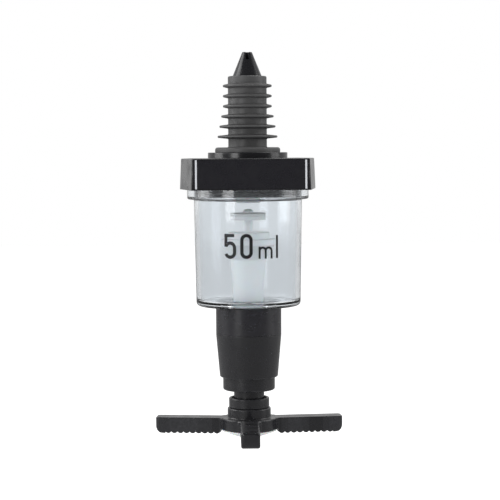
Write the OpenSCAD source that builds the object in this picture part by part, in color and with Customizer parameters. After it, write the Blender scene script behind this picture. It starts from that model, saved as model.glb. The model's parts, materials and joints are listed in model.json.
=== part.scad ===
// Liquor optic dispenser: a spirit measure that hangs under an upturned bottle.
// A glass pushed up under the three-armed lever lifts the plunger. That shuts the chamber off from
// the bottle and opens its outlet, so one 50 ml measure runs out of the spout.
// The origin is on the vertical axis, at the underside of the head, where a bracket carries it.
// +Z points up to the bottle and the front faces -Y. Every size is in millimetres.

/* [Head] */
// Width of the head at its underside, across the flats
head_w = 53.8; // [52:0.2:64]
// How much narrower the head is at its top
head_draft = 1; // [0:0.1:2]
// Height of the head
head_h = 12.1; // [11:0.1:16]
// How much each side of the head draws in from its middle to its front and its back
side_taper = 4; // [2:0.1:4.5]
// Side wall of the head cover
head_wall = 2; // [1.4:0.1:2.6]
// Top wall of the head cover
head_top = 2.4; // [1.6:0.1:3]
// Diameter of the round boss under the cork
boss_d = 31.5; // [28:0.5:44]
// Height of that boss
boss_h = 2.3; // [1:0.1:5]
// How far the base plate sits up inside the cover's rim
base_recess = 0.3; // [0.1:0.05:0.5]
// Thickness of the base plate that closes the head
base_t = 2.1; // [1.8:0.1:2.4]
// Height of the measuring space's ceiling above the underside of the head
ceiling_h = 3.3; // [2.6:0.1:3.8]
// Thickness of that ceiling
ceiling_t = 2.1; // [1.9:0.1:2.4]
// How far the base's plug reaches down into the chamber's flange
plug_depth = 2.8; // [2:0.1:3]
// Wall of that plug
plug_wall = 2; // [1.8:0.1:3]
// Distance of a head screw from the front or the back of the head
screw_inset = 6.4; // [6.2:0.1:7.2]
// Distance of a head screw from the widest part of the head's side
screw_side = 8.4; // [8.2:0.1:9]
// Thread diameter of a head screw
screw_d = 2.4; // [2:0.1:2.8]
// Length of a head screw under its head
screw_len = 6.5; // [4:0.1:7.2]
// Diameter of a screw's head
screw_head_d = 4.4; // [4:0.1:4.8]
// Height of a screw's head
screw_head_h = 1.2; // [0.8:0.1:1.5]
// Diameter of the posts that take the screws
post_d = 5.6; // [5:0.1:6.4]
// Width of the air slot in the back of the cover
air_slot_w = 8; // [4:0.5:20]
// Height of that air slot
air_slot_h = 1.2; // [0.8:0.1:2]

/* [Name panel] */
// Width of the panel let into the front of the head
panel_w = 44.2; // [30:0.2:45]
// Thickness of that panel
panel_t = 0.6; // [0.4:0.05:1]
// Edge of the head left above and below the panel
panel_margin = 0.5; // [0.3:0.1:3]
// Distance between the two upright stripes
stripe_pitch = 42; // [20:0.2:42.8]
// Width of a stripe
stripe_w = 0.7; // [0.4:0.1:2]
// Thickness of a stripe
stripe_t = 0.25; // [0.15:0.05:0.35]

/* [Cork] */
// Length of the cork above the head
cork_len = 30; // [28:0.2:40]
// Diameter of the cork's bottom flange
cork_flange_d = 25.8; // [22:0.2:31]
// Thickness of that flange
cork_flange_h = 2; // [1:0.1:3]
// Diameter of the cork between its fins
cork_d = 15.3; // [13:0.1:17]
// Number of sealing fins
fins = 6; // [3:1:6]
// Distance from fin to fin
fin_pitch = 4; // [3:0.05:4.2]
// Height of the lowest fin above the head
fin_start = 6.2; // [4:0.1:7]
// Diameter of the fins at the top, which enter the bottle first
fin_d = 19.3; // [17.5:0.1:21]
// How much wider each of the lower fins is than the one above it
fin_step = 1.46; // [0:0.02:2]
// Number of lower fins that widen
wide_fins = 3; // [0:1:3]
// Thickness of a fin at its rim
fin_rim = 0.8; // [0.5:0.1:1.2]
// Thickness of a fin where it meets the cork
fin_root = 1.7; // [1.3:0.1:2.4]

/* [Spigot] */
// Diameter of the spigot inside the cork
spigot_d = 9.8; // [9:0.1:11]
// Diameter of the spigot where it passes through the head
shank_d = 11.6; // [11.6:0.1:13]
// Bore of the spigot
spigot_bore = 6.6; // [5:0.1:7.4]
// Diameter of the spigot's cone where it covers the cork
cone_d = 11.5; // [11.2:0.1:11.5]
// Diameter of the cone at its tip
cone_tip_d = 3.8; // [2.8:0.1:4.5]
// Bore of the cone at its tip
cone_tip_bore = 1.6; // [1.2:0.1:2]
// Height of the cone
cone_h = 9.5; // [8:0.1:14]
// Width of the slots in the cone's tip
slot_w = 1.4; // [1:0.1:1.5]
// Depth of those slots
slot_depth = 3.1; // [2:0.1:5]
// Diameter of the flange that holds the spigot down
spigot_flange_d = 18; // [17:0.2:22]
// Thickness of that flange
spigot_flange_t = 2; // [1.4:0.1:2.4]
// Outer diameter of the breather tube
breather_d = 2; // [1.6:0.1:2.4]
// Bore of the breather tube
breather_bore = 1.2; // [0.8:0.1:1.3]
// Thickness of the ribs that centre the breather tube
rib_t = 0.8; // [0.6:0.1:1.2]
// Height of those ribs in the spigot
rib_h = 8; // [4:0.5:20]

/* [Inlet and air valve] */
// Outer diameter of the inlet tube
inlet_d = 9.6; // [9:0.1:10.4]
// Bore of the inlet tube
inlet_bore = 7.8; // [7:0.1:8.2]
// Diameter of the inlet tube's flange
inlet_flange_d = 12; // [11.4:0.1:12.6]
// Thickness of that flange
inlet_flange_t = 1.1; // [0.8:0.1:1.3]
// Height of the spider in the inlet tube
spider_h = 2.4; // [1.6:0.1:3]
// Thickness of an O-ring
oring_t = 1.2; // [1:0.05:1.3]
// Distance of the air valve behind the axis
air_valve_y = 13; // [11:0.2:14]
// Diameter of the air valve's umbrella
umbrella_d = 6.4; // [5.6:0.1:8]
// Thickness of the umbrella
umbrella_t = 0.7; // [0.5:0.05:1]
// Diameter of the air valve's stem
valve_stem_d = 1.8; // [1.4:0.1:2]
// Diameter of the bulb that holds the stem
bulb_d = 3; // [2.6:0.1:4]
// Diameter of the three air holes under the umbrella
air_hole_d = 1; // [0.6:0.1:1.2]

/* [Chamber] */
// Diameter of the chamber's flange under the head
flange_d = 48.2; // [47:0.2:50]
// Height of that flange
flange_h = 4; // [3.8:0.1:6]
// Outer diameter of the chamber under its flange
chamber_d = 42.9; // [42:0.1:44]
// How much narrower the chamber is at its bottom
chamber_draft = 1.5; // [0:0.1:3]
// Height of the chamber under its flange
chamber_h = 42.3; // [41.5:0.1:60]
// Wall of the chamber
chamber_wall = 1.7; // [1.4:0.1:2]
// Thickness of the chamber's floor
floor_t = 2; // [1.8:0.1:3]
// Radius of the chamber's bottom edge
chamber_edge_r = 1.6; // [0.8:0.1:2]
// Outer diameter of the neck under the chamber
neck_d = 21; // [20.6:0.1:21.6]
// Bore of that neck
neck_bore = 17; // [16.4:0.1:17.6]
// Length of that neck
neck_h = 7.7; // [6:0.1:9]
// Thickness of the lip that the outlet seal sits under
lip_t = 1.5; // [1:0.1:1.7]
// Bore of that lip
lip_bore = 14.6; // [13.4:0.1:15.6]

/* [Outlet seal] */
// Height of the outlet seal
seal_h = 3; // [2.4:0.1:3.6]
// Height of the seal's wiping lip
seal_lip_h = 1.2; // [0.8:0.1:1.4]
// Thickness of the retainer's flange under the neck
retainer_t = 1.5; // [1:0.1:2]
// Gap round the plunger in the retainer
retainer_room = 0.9; // [0.5:0.1:1.2]

/* [Housing] */
// Diameter of the housing at its label band
housing_d = 26; // [25.6:0.1:28]
// Height of the straight part that carries the label band
band_h = 11.7; // [10.2:0.1:14]
// Height of the tapered part
taper_h = 16.8; // [15:0.1:24]
// Diameter of the housing at its lower end
housing_tip_d = 23.1; // [22.6:0.1:24.5]
// Bore that the spring works in
cavity_d = 18.8; // [18.6:0.1:19.2]
// Thickness of the label band
label_t = 0.25; // [0.15:0.05:0.4]
// Edge of the housing left above and below the label band
label_margin = 0.5; // [0.3:0.1:2]
// Thickness of the flat seal between the housing and the chamber
gasket_t = 1.1; // [0.6:0.1:1.4]

/* [Guide bush] */
// Diameter of the ring under the housing
ring_d = 20.7; // [19.8:0.1:22.4]
// Height of that ring
ring_h = 5.2; // [4:0.1:8]
// Length of the bush inside the housing
bush_h = 4.8; // [3.6:0.1:6]
// Radius of the ring's bottom edge
ring_edge_r = 0.6; // [0.2:0.1:0.8]

/* [Plunger] */
// How far the plunger rises from rest
travel = 4; // [2:0.1:4.5]
// Diameter of the displacer's rim
rim_d = 21.6; // [18:0.2:24]
// Height of the rim
rim_h = 2.2; // [1:0.1:4]
// Height of the funnel under the rim
funnel_h = 6; // [4:0.1:8]
// Diameter of the sleeve at the foot of the funnel
sleeve_d = 14; // [13:0.1:16]
// Diameter of the sleeve just above the seal
sleeve_low_d = 11.8; // [11.4:0.1:12.6]
// Height of the sleeve from the seal to the funnel
sleeve_h = 17.75; // [16:0.05:18.5]
// Diameter of the displacer where it runs through the seal
spool_d = 11; // [10.6:0.1:11.3]
// Bore of the displacer
sleeve_bore = 8.6; // [8:0.1:9]
// Width of an outlet port
port_w = 4; // [2:0.1:5]
// Height of an outlet port
port_h = 3; // [2:0.1:3.4]
// Diameter of the plate on the displacer's rim
plate_d = 16.8; // [14:0.2:20]
// Thickness of that plate
plate_h = 2.6; // [1:0.1:3]
// Depth of the plug that holds the plate in the displacer
stem_plug_h = 4; // [2:0.1:8]
// Diameter of the valve rod
rod_d = 3.5; // [3:0.1:5]
// Length of the valve rod
rod_h = 4.9; // [3:0.1:6]
// Diameter of the valve disc
disc_d = 14.3; // [12:0.1:16]
// Thickness of the valve disc
disc_h = 1.7; // [1:0.1:2.4]
// Thickness of the pale rubber washer on the disc
washer_t = 1; // [0.6:0.1:1.6]
// Diameter of the cap that holds the washer
cap_d = 4.4; // [4:0.1:5]
// Height of that cap
cap_h = 1.6; // [1.4:0.1:2]
// Diameter of the pin inside the cap
cap_pin_d = 2; // [1.6:0.1:2.2]

/* [Outlet tube] */
// Outer diameter of the outlet tube
tube_d = 12.1; // [11.8:0.1:12.6]
// Bore of the outlet tube
tube_bore = 9.6; // [9:0.1:10]
// Diameter of the socket that grips the displacer
socket_d = 13.8; // [13:0.1:14]
// Depth of that socket
socket_h = 6; // [4:0.1:7]
// Diameter of the tube's stop flange
stop_d = 18; // [17:0.1:18.4]
// Thickness of that stop flange
stop_h = 1.6; // [1:0.1:2.4]
// Length of tube that shows between the ring and the collar
tube_show = 3.2; // [1:0.1:6]

/* [Return spring] */
// Mean diameter of the coil
coil_d = 15.8; // [15.6:0.1:16.4]
// Diameter of the wire
wire_d = 0.9; // [0.6:0.05:1]
// Number of turns
turns = 6; // [4:1:7]

/* [Lever] */
// Diameter of the collar that is fixed on the tube
collar_d = 16.1; // [15.4:0.1:16.4]
// Height of that collar
collar_h = 3.9; // [2.4:0.1:6]
// Diameter of the cup in the collar's top
cup_d = 14.2; // [13.2:0.1:14.6]
// Depth of that cup
cup_depth = 1.2; // [0.4:0.1:2]
// Diameter of the lever's boss
lever_boss_d = 17.3; // [15:0.1:20]
// Height of the lever's boss
lever_boss_h = 3.95; // [2:0.05:6]
// Diameter of the hub between the arms
hub_d = 22.4; // [20:0.2:34]
// Thickness of the hub
hub_h = 4.6; // [3:0.1:5]
// Reach of an arm from the axis
arm_reach = 37.4; // [30:0.2:44]
// Height of an arm, with its teeth
arm_h = 6.4; // [5.7:0.1:8]
// Width of a side arm where it leaves the hub
arm_root_w = 7; // [6:0.1:9]
// Width of a side arm at its tip
arm_tip_w = 6.8; // [4:0.1:8]
// Width of the front arm
front_arm_w = 7.3; // [6:0.1:9]
// How far the side arms lean back from a straight line, in degrees
arm_sweep = 6.5; // [0:0.5:20]
// How far the lever is turned round the tube from straight, in degrees
lever_turn = -2; // [-30:1:30]
// Distance from tooth to tooth under an arm
tooth_pitch = 2.45; // [2:0.05:4]
// Depth of a tooth
tooth_depth = 0.7; // [0.4:0.1:0.9]
// Length of the plain toe at the arm's tip
toe_len = 3.9; // [2.1:0.1:5]
// Radius of the toe's lower corner
toe_r = 2.6; // [0.5:0.1:4]
// Radius of the arm's upright corners
arm_corner_r = 1.4; // [0.4:0.1:1.9]

/* [Spout] */
// Diameter of the shallow cone under the hub
nozzle_d = 21.6; // [18:0.2:25]
// Thickness of the cone at its edge
nozzle_edge = 0.6; // [0.4:0.1:1]
// Slope of the cone, in degrees
nozzle_slope = 20; // [15:1:30]
// Outer diameter of the spout
spout_d = 6.8; // [6.4:0.1:8]
// Bore of the spout
spout_bore = 4.8; // [3:0.1:5.4]
// Height of the nozzle under the hub
nozzle_drop = 6.55; // [6:0.05:12]
// Depth of the nozzle's plug in the tube
nozzle_plug_h = 7; // [4:0.1:10]
// Wall of the nozzle's plug
nozzle_wall = 1.2; // [0.8:0.1:1.5]

/* [Fits] */
// Gap all round between pieces that are pushed together
push_fit = 0.05; // [0.02:0.01:0.1]
// Gap round a stripe, band or O-ring that is let into a surface
inlay_gap = 0.01; // [0.01:0.01:0.03]
// Gap all round between pieces that slide or turn
running_fit = 0.08; // [0.04:0.01:0.1]
// Gap left at each end of the plunger's travel
stop_gap = 0.1; // [0.05:0.01:0.2]
// Gap above and below the swivelling lever
swivel_gap = 0.15; // [0.1:0.01:0.3]
// Room left around pieces that pass each other freely
free_room = 0.5; // [0.3:0.05:0.7]

/* [Hidden] */
$fn = 96;

// Colours of the finishes, as the photograph shows them
BLACK = "#36353b";
PANEL = "#2b2a30";
RUBBER = "#3a3a3e";
PALE = "#c3c5c3";
WHITE = "#d6dde2";
CLEAR = "#b9c4cc";
STEEL = "#9aa0a6";

// Levels above the bracket ledge, from the head to the tip of the spigot
z_plate_top = base_recess + base_t;
z_cover_ceiling = head_h - head_top;
z_boss = head_h + boss_h;
z_cork_top = z_boss + cork_len;
z_tip = z_cork_top + cone_h;
z_base_top = ceiling_h + ceiling_t;
z_spigot_flange = z_base_top + spigot_flange_t;

// Levels below the ledge, down the fixed pieces
z_flange_end = -flange_h;
z_socket_floor = -plug_depth - 0.2;
z_chamber_end = z_flange_end - chamber_h;
z_floor = z_chamber_end + floor_t;
z_seal_top = z_floor - lip_t;
z_seal_end = z_seal_top - seal_h;
z_neck_end = z_chamber_end - neck_h;
z_retainer_end = z_neck_end - retainer_t;
z_band_end = z_chamber_end - band_h;
z_housing_end = z_band_end - taper_h;
z_bush_top = z_housing_end + bush_h;
z_ring_end = z_housing_end - ring_h;

// Levels of the plunger at rest
z_shoulder = z_seal_top + push_fit;
z_funnel = z_shoulder + sleeve_h;
z_rim = z_funnel + funnel_h;
z_plate = z_rim + rim_h;
z_rod = z_plate + plate_h;
z_disc = z_rod + rod_h;
z_washer = z_disc + disc_h;
z_cap = z_washer + washer_t;
z_cap_top = z_cap + cap_h;
z_inlet = z_cap + travel + stop_gap;
z_spider = z_cap_top + travel + free_room;
z_stop_end = z_bush_top + stop_gap;
z_stop_top = z_stop_end + stop_h;
z_socket_top = z_retainer_end - travel - free_room;
z_tail = z_socket_top - socket_h;
z_port_top = z_seal_top - seal_lip_h - 2 * stop_gap;
z_collar_top = z_ring_end - tube_show;
z_collar_end = z_collar_top - collar_h;
z_lever_top = z_collar_end - swivel_gap;
z_hub_top = z_lever_top - lever_boss_h;
z_hub_end = z_hub_top - hub_h;
z_nozzle_top = z_hub_end - swivel_gap;
z_spout_end = z_nozzle_top - nozzle_drop;

// Radii that more than one piece needs
lean = atan(head_draft / 2 / head_h);
side_turn = atan(side_taper / (head_w / 2));
side_distance = head_w / 2 * cos(side_turn);
chamber_r = chamber_d / 2;
chamber_end_r = chamber_r - chamber_draft / 2;
plug_r = chamber_r - push_fit;
seal_r = neck_bore / 2 - push_fit;
label_r = housing_d / 2 - label_t;
gasket_r = (neck_d / 2 + label_r) / 2;
breather_hole_r = breather_d / 2 + push_fit;
oring_squeeze = oring_t - 0.1;
oring_r = oring_squeeze / 2 - inlay_gap;
spigot_seal_r = inlet_flange_d / 2 + 1.5;
bush_cup_r = collar_d / 2 + 0.35;
bush_cup_depth = max(0.5, travel - tube_show + 0.8);
arm_root = hub_d / 2 - 1.6;
arm_start = max(nozzle_d / 2 + 0.4, arm_root);
screw_x = head_w / 2 - screw_side;
screw_y = head_w / 2 - screw_inset;
z_screw = base_recess + 0.1;
cross_w = screw_head_d / 3;
cross_depth = screw_head_h * 0.6;

// ---------------------------------------------------------------- shared shapes

// Upright cylinder between two levels
module rod(r, z0, z1) {
    translate([0, 0, z0]) cylinder(r = r, h = z1 - z0);
}

// Upright tube between two levels
module tube(r, bore_r, z0, z1) {
    difference() {
        rod(r, z0, z1);
        rod(bore_r, z0 - 1, z1 + 1);
    }
}

// O-ring round the axis, with its middle at radius r and level z
module oring(r, z) {
    color(RUBBER) rotate_extrude() translate([r, z]) circle(r = oring_r, $fn = 32);
}

// Ring-shaped cut that an O-ring lies in, open towards the piece it seals against
module groove(r_in, r_out, z0, z1) {
    tube(r_out, r_in, z0, z1);
}

// Points on an arc about c, from angle a0 to a1
function arc(c, r, a0, a1, steps = 6) =
    [for (i = [0:steps]) let (a = a0 + (a1 - a0) * i / steps) c + r * [cos(a), sin(a)]];

// Six-sided block of the head, inset from its faces, between two levels
module head_block(inset, z0, z1) {
    size = 2 * head_w;
    difference() {
        translate([-size / 2, -size / 2, z0]) cube([size, size, z1 - z0]);
        for (side = [0, 180]) rotate([0, 0, side]) {
            rotate([0, 0, 90]) leaning_face(head_w / 2 - inset, size);
            for (turn = [-side_turn, side_turn]) rotate([0, 0, turn])
                leaning_face(side_distance - inset, size);
        }
    }
}

// Everything outside one leaning face of the head
module leaning_face(distance, size) {
    translate([distance, 0, 0]) rotate([0, -lean, 0])
        translate([0, -size, -size]) cube([size, 2 * size, 2 * size]);
}

// Slab along the head's front face, across width at x: from proud in front of the face to depth behind it
module front_slab(x, width, depth, z0, z1, proud = 0) {
    intersection() {
        translate([x - width / 2, -head_w, z0]) cube([width, head_w, z1 - z0]);
        translate([x - width, -head_w / 2 - proud, 0]) rotate([-lean, 0, 0])
            translate([0, 0, -head_w]) cube([2 * width, (depth + proud) * cos(lean), 2 * head_w]);
    }
}

// Places its children at the four head screws
module at_screws() {
    for (x = [-screw_x, screw_x], y = [-screw_y, screw_y]) translate([x, y, 0]) children();
}

// ---------------------------------------------------------------- bottle side

// Sizes of the fins, from the lowest up
function fin_r(i) = fin_d / 2 + fin_step / 2 * max(0, wide_fins - i);
function fin_z(i) = z_boss + fin_start + fin_pitch * i;

module bottle_cork() {
    r = cork_d / 2;
    outline = concat(
        [[spigot_d / 2 + push_fit, z_boss], [cork_flange_d / 2, z_boss]],
        arc([(cork_flange_d - cork_flange_h) / 2, z_boss + cork_flange_h / 2], cork_flange_h / 2, 0, 90),
        [[r, z_boss + cork_flange_h]],
        [for (i = [0:fins - 1]) each [
            [r, fin_z(i) - fin_root / 2], [fin_r(i), fin_z(i) - fin_rim / 2],
            [fin_r(i), fin_z(i) + fin_rim / 2], [r, fin_z(i) + fin_root / 2]
        ]],
        arc([r - 0.5, z_cork_top - 0.5], 0.5, 0, 90),
        [[spigot_d / 2 + push_fit, z_cork_top]]
    );
    color(RUBBER) rotate_extrude() polygon(outline);
}

module cork_spigot() {
    bore_r = spigot_bore / 2;
    outline = [
        [bore_r, z_base_top], [spigot_flange_d / 2, z_base_top], [spigot_flange_d / 2, z_spigot_flange],
        [shank_d / 2, z_spigot_flange], [shank_d / 2, z_boss], [spigot_d / 2, z_boss],
        [spigot_d / 2, z_cork_top], [cone_d / 2, z_cork_top], [cone_tip_d / 2, z_tip],
        [cone_tip_bore / 2, z_tip], [bore_r, z_cork_top + 1]
    ];
    color(BLACK) {
        difference() {
            rotate_extrude() polygon(outline);
            for (side = [0:2]) rotate([0, 0, 120 * side - 90]) tip_slot();
        }
        for (side = [0:2]) rotate([0, 0, 120 * side]) translate([breather_hole_r, -rib_t / 2, z_boss])
            cube([bore_r - breather_hole_r + 0.3, rib_t, rib_h]);
    }
}

// Slot from the axis out through the cone's tip, with a round bottom
module tip_slot() {
    z = z_tip - slot_depth + slot_w / 2;
    translate([0, -slot_w / 2, z]) cube([cone_d, slot_w, slot_depth]);
    translate([0, 0, z]) rotate([0, 90, 0]) cylinder(d = slot_w, h = cone_d, $fn = 32);
}

module breather_tube() {
    color(STEEL) tube(breather_d / 2, breather_bore / 2, z_spider, z_tip - slot_depth - 0.2);
}

// ---------------------------------------------------------------- head

module head_cover() {
    color(BLACK) difference() {
        union() {
            difference() {
                head_block(0, 0, head_h);
                head_block(head_wall, -1, z_cover_ceiling);
            }
            rod(boss_d / 2, z_cover_ceiling, z_boss);
            rod(spigot_flange_d / 2, z_spigot_flange, z_cover_ceiling + 0.1);
            at_screws() rod(post_d / 2, z_plate_top, z_cover_ceiling + 0.1);
        }
        rod(shank_d / 2 + push_fit, -1, z_boss + 1);
        at_screws() rod(screw_d / 2 + push_fit, -1, z_plate_top + screw_len);
        front_slab(0, panel_w + 2 * push_fit, panel_t, panel_margin, head_h - panel_margin, 1);
        translate([-air_slot_w / 2, 0, z_plate_top]) cube([air_slot_w, head_w, air_slot_h]);
    }
}

module name_panel() {
    z0 = panel_margin + push_fit;
    z1 = head_h - panel_margin - push_fit;
    color(PANEL) difference() {
        front_slab(0, panel_w, panel_t, z0, z1);
        for (x = [-stripe_pitch / 2, stripe_pitch / 2])
            front_slab(x, stripe_w + 2 * inlay_gap, stripe_t + inlay_gap, 0, head_h, 1);
    }
}

module panel_stripes() {
    z0 = panel_margin + push_fit;
    z1 = head_h - panel_margin - push_fit;
    color(WHITE) for (x = [-stripe_pitch / 2, stripe_pitch / 2])
        front_slab(x, stripe_w, stripe_t, z0, z1);
}

module head_base() {
    inlet_r = inlet_d / 2 + push_fit;
    color(BLACK) difference() {
        union() {
            head_block(head_wall + push_fit, base_recess, z_plate_top);
            rod(plug_r, -plug_depth, z_base_top);
        }
        rod(plug_r - plug_wall, -plug_depth - 1, ceiling_h);
        rod(inlet_r, ceiling_h - 1, z_base_top + 1);
        rod(inlet_flange_d / 2 + push_fit, z_base_top - inlet_flange_t, z_base_top + 1);
        groove(spigot_seal_r - oring_t / 2, spigot_seal_r + oring_t / 2,
            z_base_top - oring_squeeze, z_base_top + 1);
        groove(plug_r - oring_squeeze, plug_r + 1,
            -plug_depth / 2 - oring_t / 2, -plug_depth / 2 + oring_t / 2);
        at_screws() {
            rod(screw_head_d / 2 + push_fit, -1, z_screw + screw_head_h);
            rod(screw_d / 2 + push_fit, -1, z_plate_top + 1);
        }
        translate([0, air_valve_y, 0]) {
            rod(valve_stem_d / 2 + push_fit, 0, z_base_top + 1);
            for (side = [0:2]) rotate([0, 0, 120 * side])
                translate([umbrella_d / 2 - air_hole_d, 0, 0]) rod(air_hole_d / 2, 0, z_base_top + 1);
        }
    }
}

module head_screws() {
    z_head = z_screw + screw_head_h;
    color(STEEL) at_screws() difference() {
        union() {
            rod(screw_head_d / 2, z_screw, z_head);
            rod(screw_d / 2, z_head, z_head + screw_len);
        }
        for (side = [0, 90]) rotate([0, 0, side])
            translate([-cross_w, -cross_w / 5, z_screw - 1])
                cube([2 * cross_w, cross_w * 2 / 5, 1 + cross_depth]);
    }
}

module inlet_seat() {
    bore_r = inlet_bore / 2;
    color(WHITE) {
        tube(inlet_d / 2, bore_r, z_inlet, z_base_top);
        tube(inlet_flange_d / 2, bore_r, z_base_top - inlet_flange_t, z_base_top);
        tube(breather_hole_r + 0.7, breather_hole_r, z_spider, z_spider + spider_h);
        for (side = [0:2]) rotate([0, 0, 120 * side])
            translate([breather_hole_r + 0.4, -rib_t / 2, z_spider])
                cube([bore_r - breather_hole_r - 0.1, rib_t, spider_h]);
    }
}

module spigot_seal() {
    oring(spigot_seal_r, z_base_top - oring_squeeze / 2);
}

module chamber_seal() {
    oring(plug_r - oring_squeeze / 2, -plug_depth / 2);
}

module air_valve() {
    bulb_h = 1;
    color(RUBBER) translate([0, air_valve_y, 0]) {
        rod(umbrella_d / 2, ceiling_h - umbrella_t, ceiling_h);
        rod(valve_stem_d / 2, ceiling_h - umbrella_t, z_base_top + bulb_h);
        translate([0, 0, z_base_top]) cylinder(d1 = bulb_d, d2 = valve_stem_d, h = bulb_h);
    }
}

// ---------------------------------------------------------------- chamber and housing

module chamber() {
    wall_r = chamber_r - chamber_wall;
    end_r = chamber_end_r - chamber_wall;
    socket_r = plug_r + push_fit;
    edge = 0.8;
    inner_edge = 1.2;
    outline = concat(
        [[lip_bore / 2, z_floor]],
        arc([end_r - inner_edge, z_floor + inner_edge], inner_edge, -90, 0),
        [[wall_r, z_socket_floor], [socket_r, z_socket_floor], [socket_r, base_recess],
            [flange_d / 2, base_recess]],
        arc([flange_d / 2 - edge, z_flange_end + edge], edge, 0, -90),
        [[chamber_r, z_flange_end]],
        arc([chamber_end_r - chamber_edge_r, z_chamber_end + chamber_edge_r], chamber_edge_r, 0, -90),
        [
            [neck_d / 2, z_chamber_end], [neck_d / 2, z_neck_end], [neck_bore / 2, z_neck_end],
            [neck_bore / 2, z_seal_top], [lip_bore / 2, z_seal_top]
        ]
    );
    color(CLEAR, 0.35) rotate_extrude() polygon(outline);
}

module outlet_seal() {
    lip_r = spool_d / 2 + running_fit;
    relief_r = lip_r + 1;
    color(RUBBER) difference() {
        rod(seal_r, z_seal_end, z_seal_top);
        rod(lip_r, z_seal_end - 1, z_seal_top + 1);
        rod(relief_r, z_seal_end - 1, z_seal_top - seal_lip_h);
    }
}

module seat_retainer() {
    bore_r = spool_d / 2 + retainer_room;
    color(WHITE) {
        tube(seal_r, bore_r, z_neck_end, z_seal_end);
        tube(neck_d / 2, bore_r, z_retainer_end, z_neck_end);
    }
}

// Flat ring round the neck, in a rebate in the housing's top
module housing_seal() {
    color(RUBBER)
        tube(gasket_r - push_fit, neck_d / 2 + push_fit, z_chamber_end - gasket_t, z_chamber_end);
}

module lower_housing() {
    neck_hole_r = neck_d / 2 + push_fit;
    outline = [
        [gasket_r, z_chamber_end], [housing_d / 2, z_chamber_end],
        [housing_d / 2, z_chamber_end - label_margin], [label_r, z_chamber_end - label_margin],
        [label_r, z_band_end + label_margin], [housing_d / 2, z_band_end + label_margin],
        [housing_d / 2, z_band_end], [housing_tip_d / 2, z_housing_end],
        [cavity_d / 2, z_housing_end], [cavity_d / 2, z_retainer_end], [neck_hole_r, z_retainer_end],
        [neck_hole_r, z_chamber_end - gasket_t], [gasket_r, z_chamber_end - gasket_t]
    ];
    color(BLACK) rotate_extrude() polygon(outline);
}

module label_band() {
    color(PANEL) tube(housing_d / 2, label_r + inlay_gap,
        z_band_end + label_margin + push_fit, z_chamber_end - label_margin - push_fit);
}

module guide_bush() {
    bore_r = tube_d / 2 + running_fit;
    ring_r = ring_d / 2;
    outline = concat(
        [[bore_r, z_bush_top], [cavity_d / 2 - push_fit, z_bush_top],
            [cavity_d / 2 - push_fit, z_housing_end], [ring_r, z_housing_end]],
        arc([ring_r - ring_edge_r, z_ring_end + ring_edge_r], ring_edge_r, 0, -90),
        [[bush_cup_r, z_ring_end], [bush_cup_r, z_ring_end + bush_cup_depth],
            [bore_r, z_ring_end + bush_cup_depth]]
    );
    color(BLACK) difference() {
        rotate_extrude() polygon(outline);
        groove(bore_r - 1, bore_r + oring_squeeze,
            z_housing_end - oring_t / 2, z_housing_end + oring_t / 2);
    }
}

module guide_seal() {
    oring(tube_d / 2 + running_fit + oring_squeeze / 2, z_housing_end);
}

// ---------------------------------------------------------------- return spring

SPRING_RINGS = 8;
SPRING_SIDES = 6;
spring_z0 = z_stop_top + wire_d / 2 + 0.02;
spring_z1 = z_retainer_end - wire_d / 2 - 0.02;
spring_steps = turns * SPRING_RINGS;

// Centre of the wire at step i
function coil_at(i) =
    let (a = 360 * i / SPRING_RINGS, z = spring_z0 + (spring_z1 - spring_z0) * i / spring_steps)
    [coil_d / 2 * cos(a), coil_d / 2 * sin(a), z];

// Ring of points round the wire at step i
function coil_ring(i) =
    let (a = 360 * i / SPRING_RINGS, c = coil_at(i))
    [for (k = [0:SPRING_SIDES - 1]) let (b = 360 * k / SPRING_SIDES)
        c + wire_d / 2 * [cos(b) * cos(a), cos(b) * sin(a), sin(b)]];

coil_points = [for (i = [0:spring_steps]) coil_at(i)];
coil_gap = min([for (i = [0:spring_steps], j = [i + SPRING_RINGS / 2:1:spring_steps])
    norm(coil_points[i] - coil_points[j])]) - wire_d;
echo(least_gap_between_spring_turns = coil_gap);

module return_spring() {
    points = [for (i = [0:spring_steps]) each coil_ring(i)];
    last = spring_steps * SPRING_SIDES;
    sides = [for (i = [0:spring_steps - 1], k = [0:SPRING_SIDES - 1])
        let (a = i * SPRING_SIDES + k, b = i * SPRING_SIDES + (k + 1) % SPRING_SIDES) each [
            [a, a + SPRING_SIDES, b], [b, a + SPRING_SIDES, b + SPRING_SIDES]
        ]];
    ends = [for (k = [1:SPRING_SIDES - 2]) each [[0, k, k + 1], [last, last + k + 1, last + k]]];
    color(STEEL) polyhedron(points, concat(sides, ends));
}

// ---------------------------------------------------------------- plunger

module valve_cap() {
    color(WHITE) difference() {
        intersection() {
            translate([0, 0, z_cap_top - cap_d / 2]) sphere(d = cap_d);
            rod(cap_d, z_cap, z_cap_top + 1);
        }
        rod(cap_pin_d / 2 + push_fit, z_cap - 1, z_cap_top - 0.7);
    }
}

module inlet_washer() {
    color(PALE) tube(disc_d / 2 - 0.1, cap_pin_d / 2 + push_fit, z_washer, z_cap);
}

module valve_stem() {
    color(WHITE) {
        rod(cap_pin_d / 2, z_washer, z_cap_top - 0.8);
        rod(disc_d / 2, z_disc, z_washer);
        rod(rod_d / 2, z_rod, z_disc);
        rod(plate_d / 2, z_plate, z_rod);
        rod(sleeve_bore / 2 - push_fit, z_plate - stem_plug_h, z_plate);
    }
}

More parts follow.
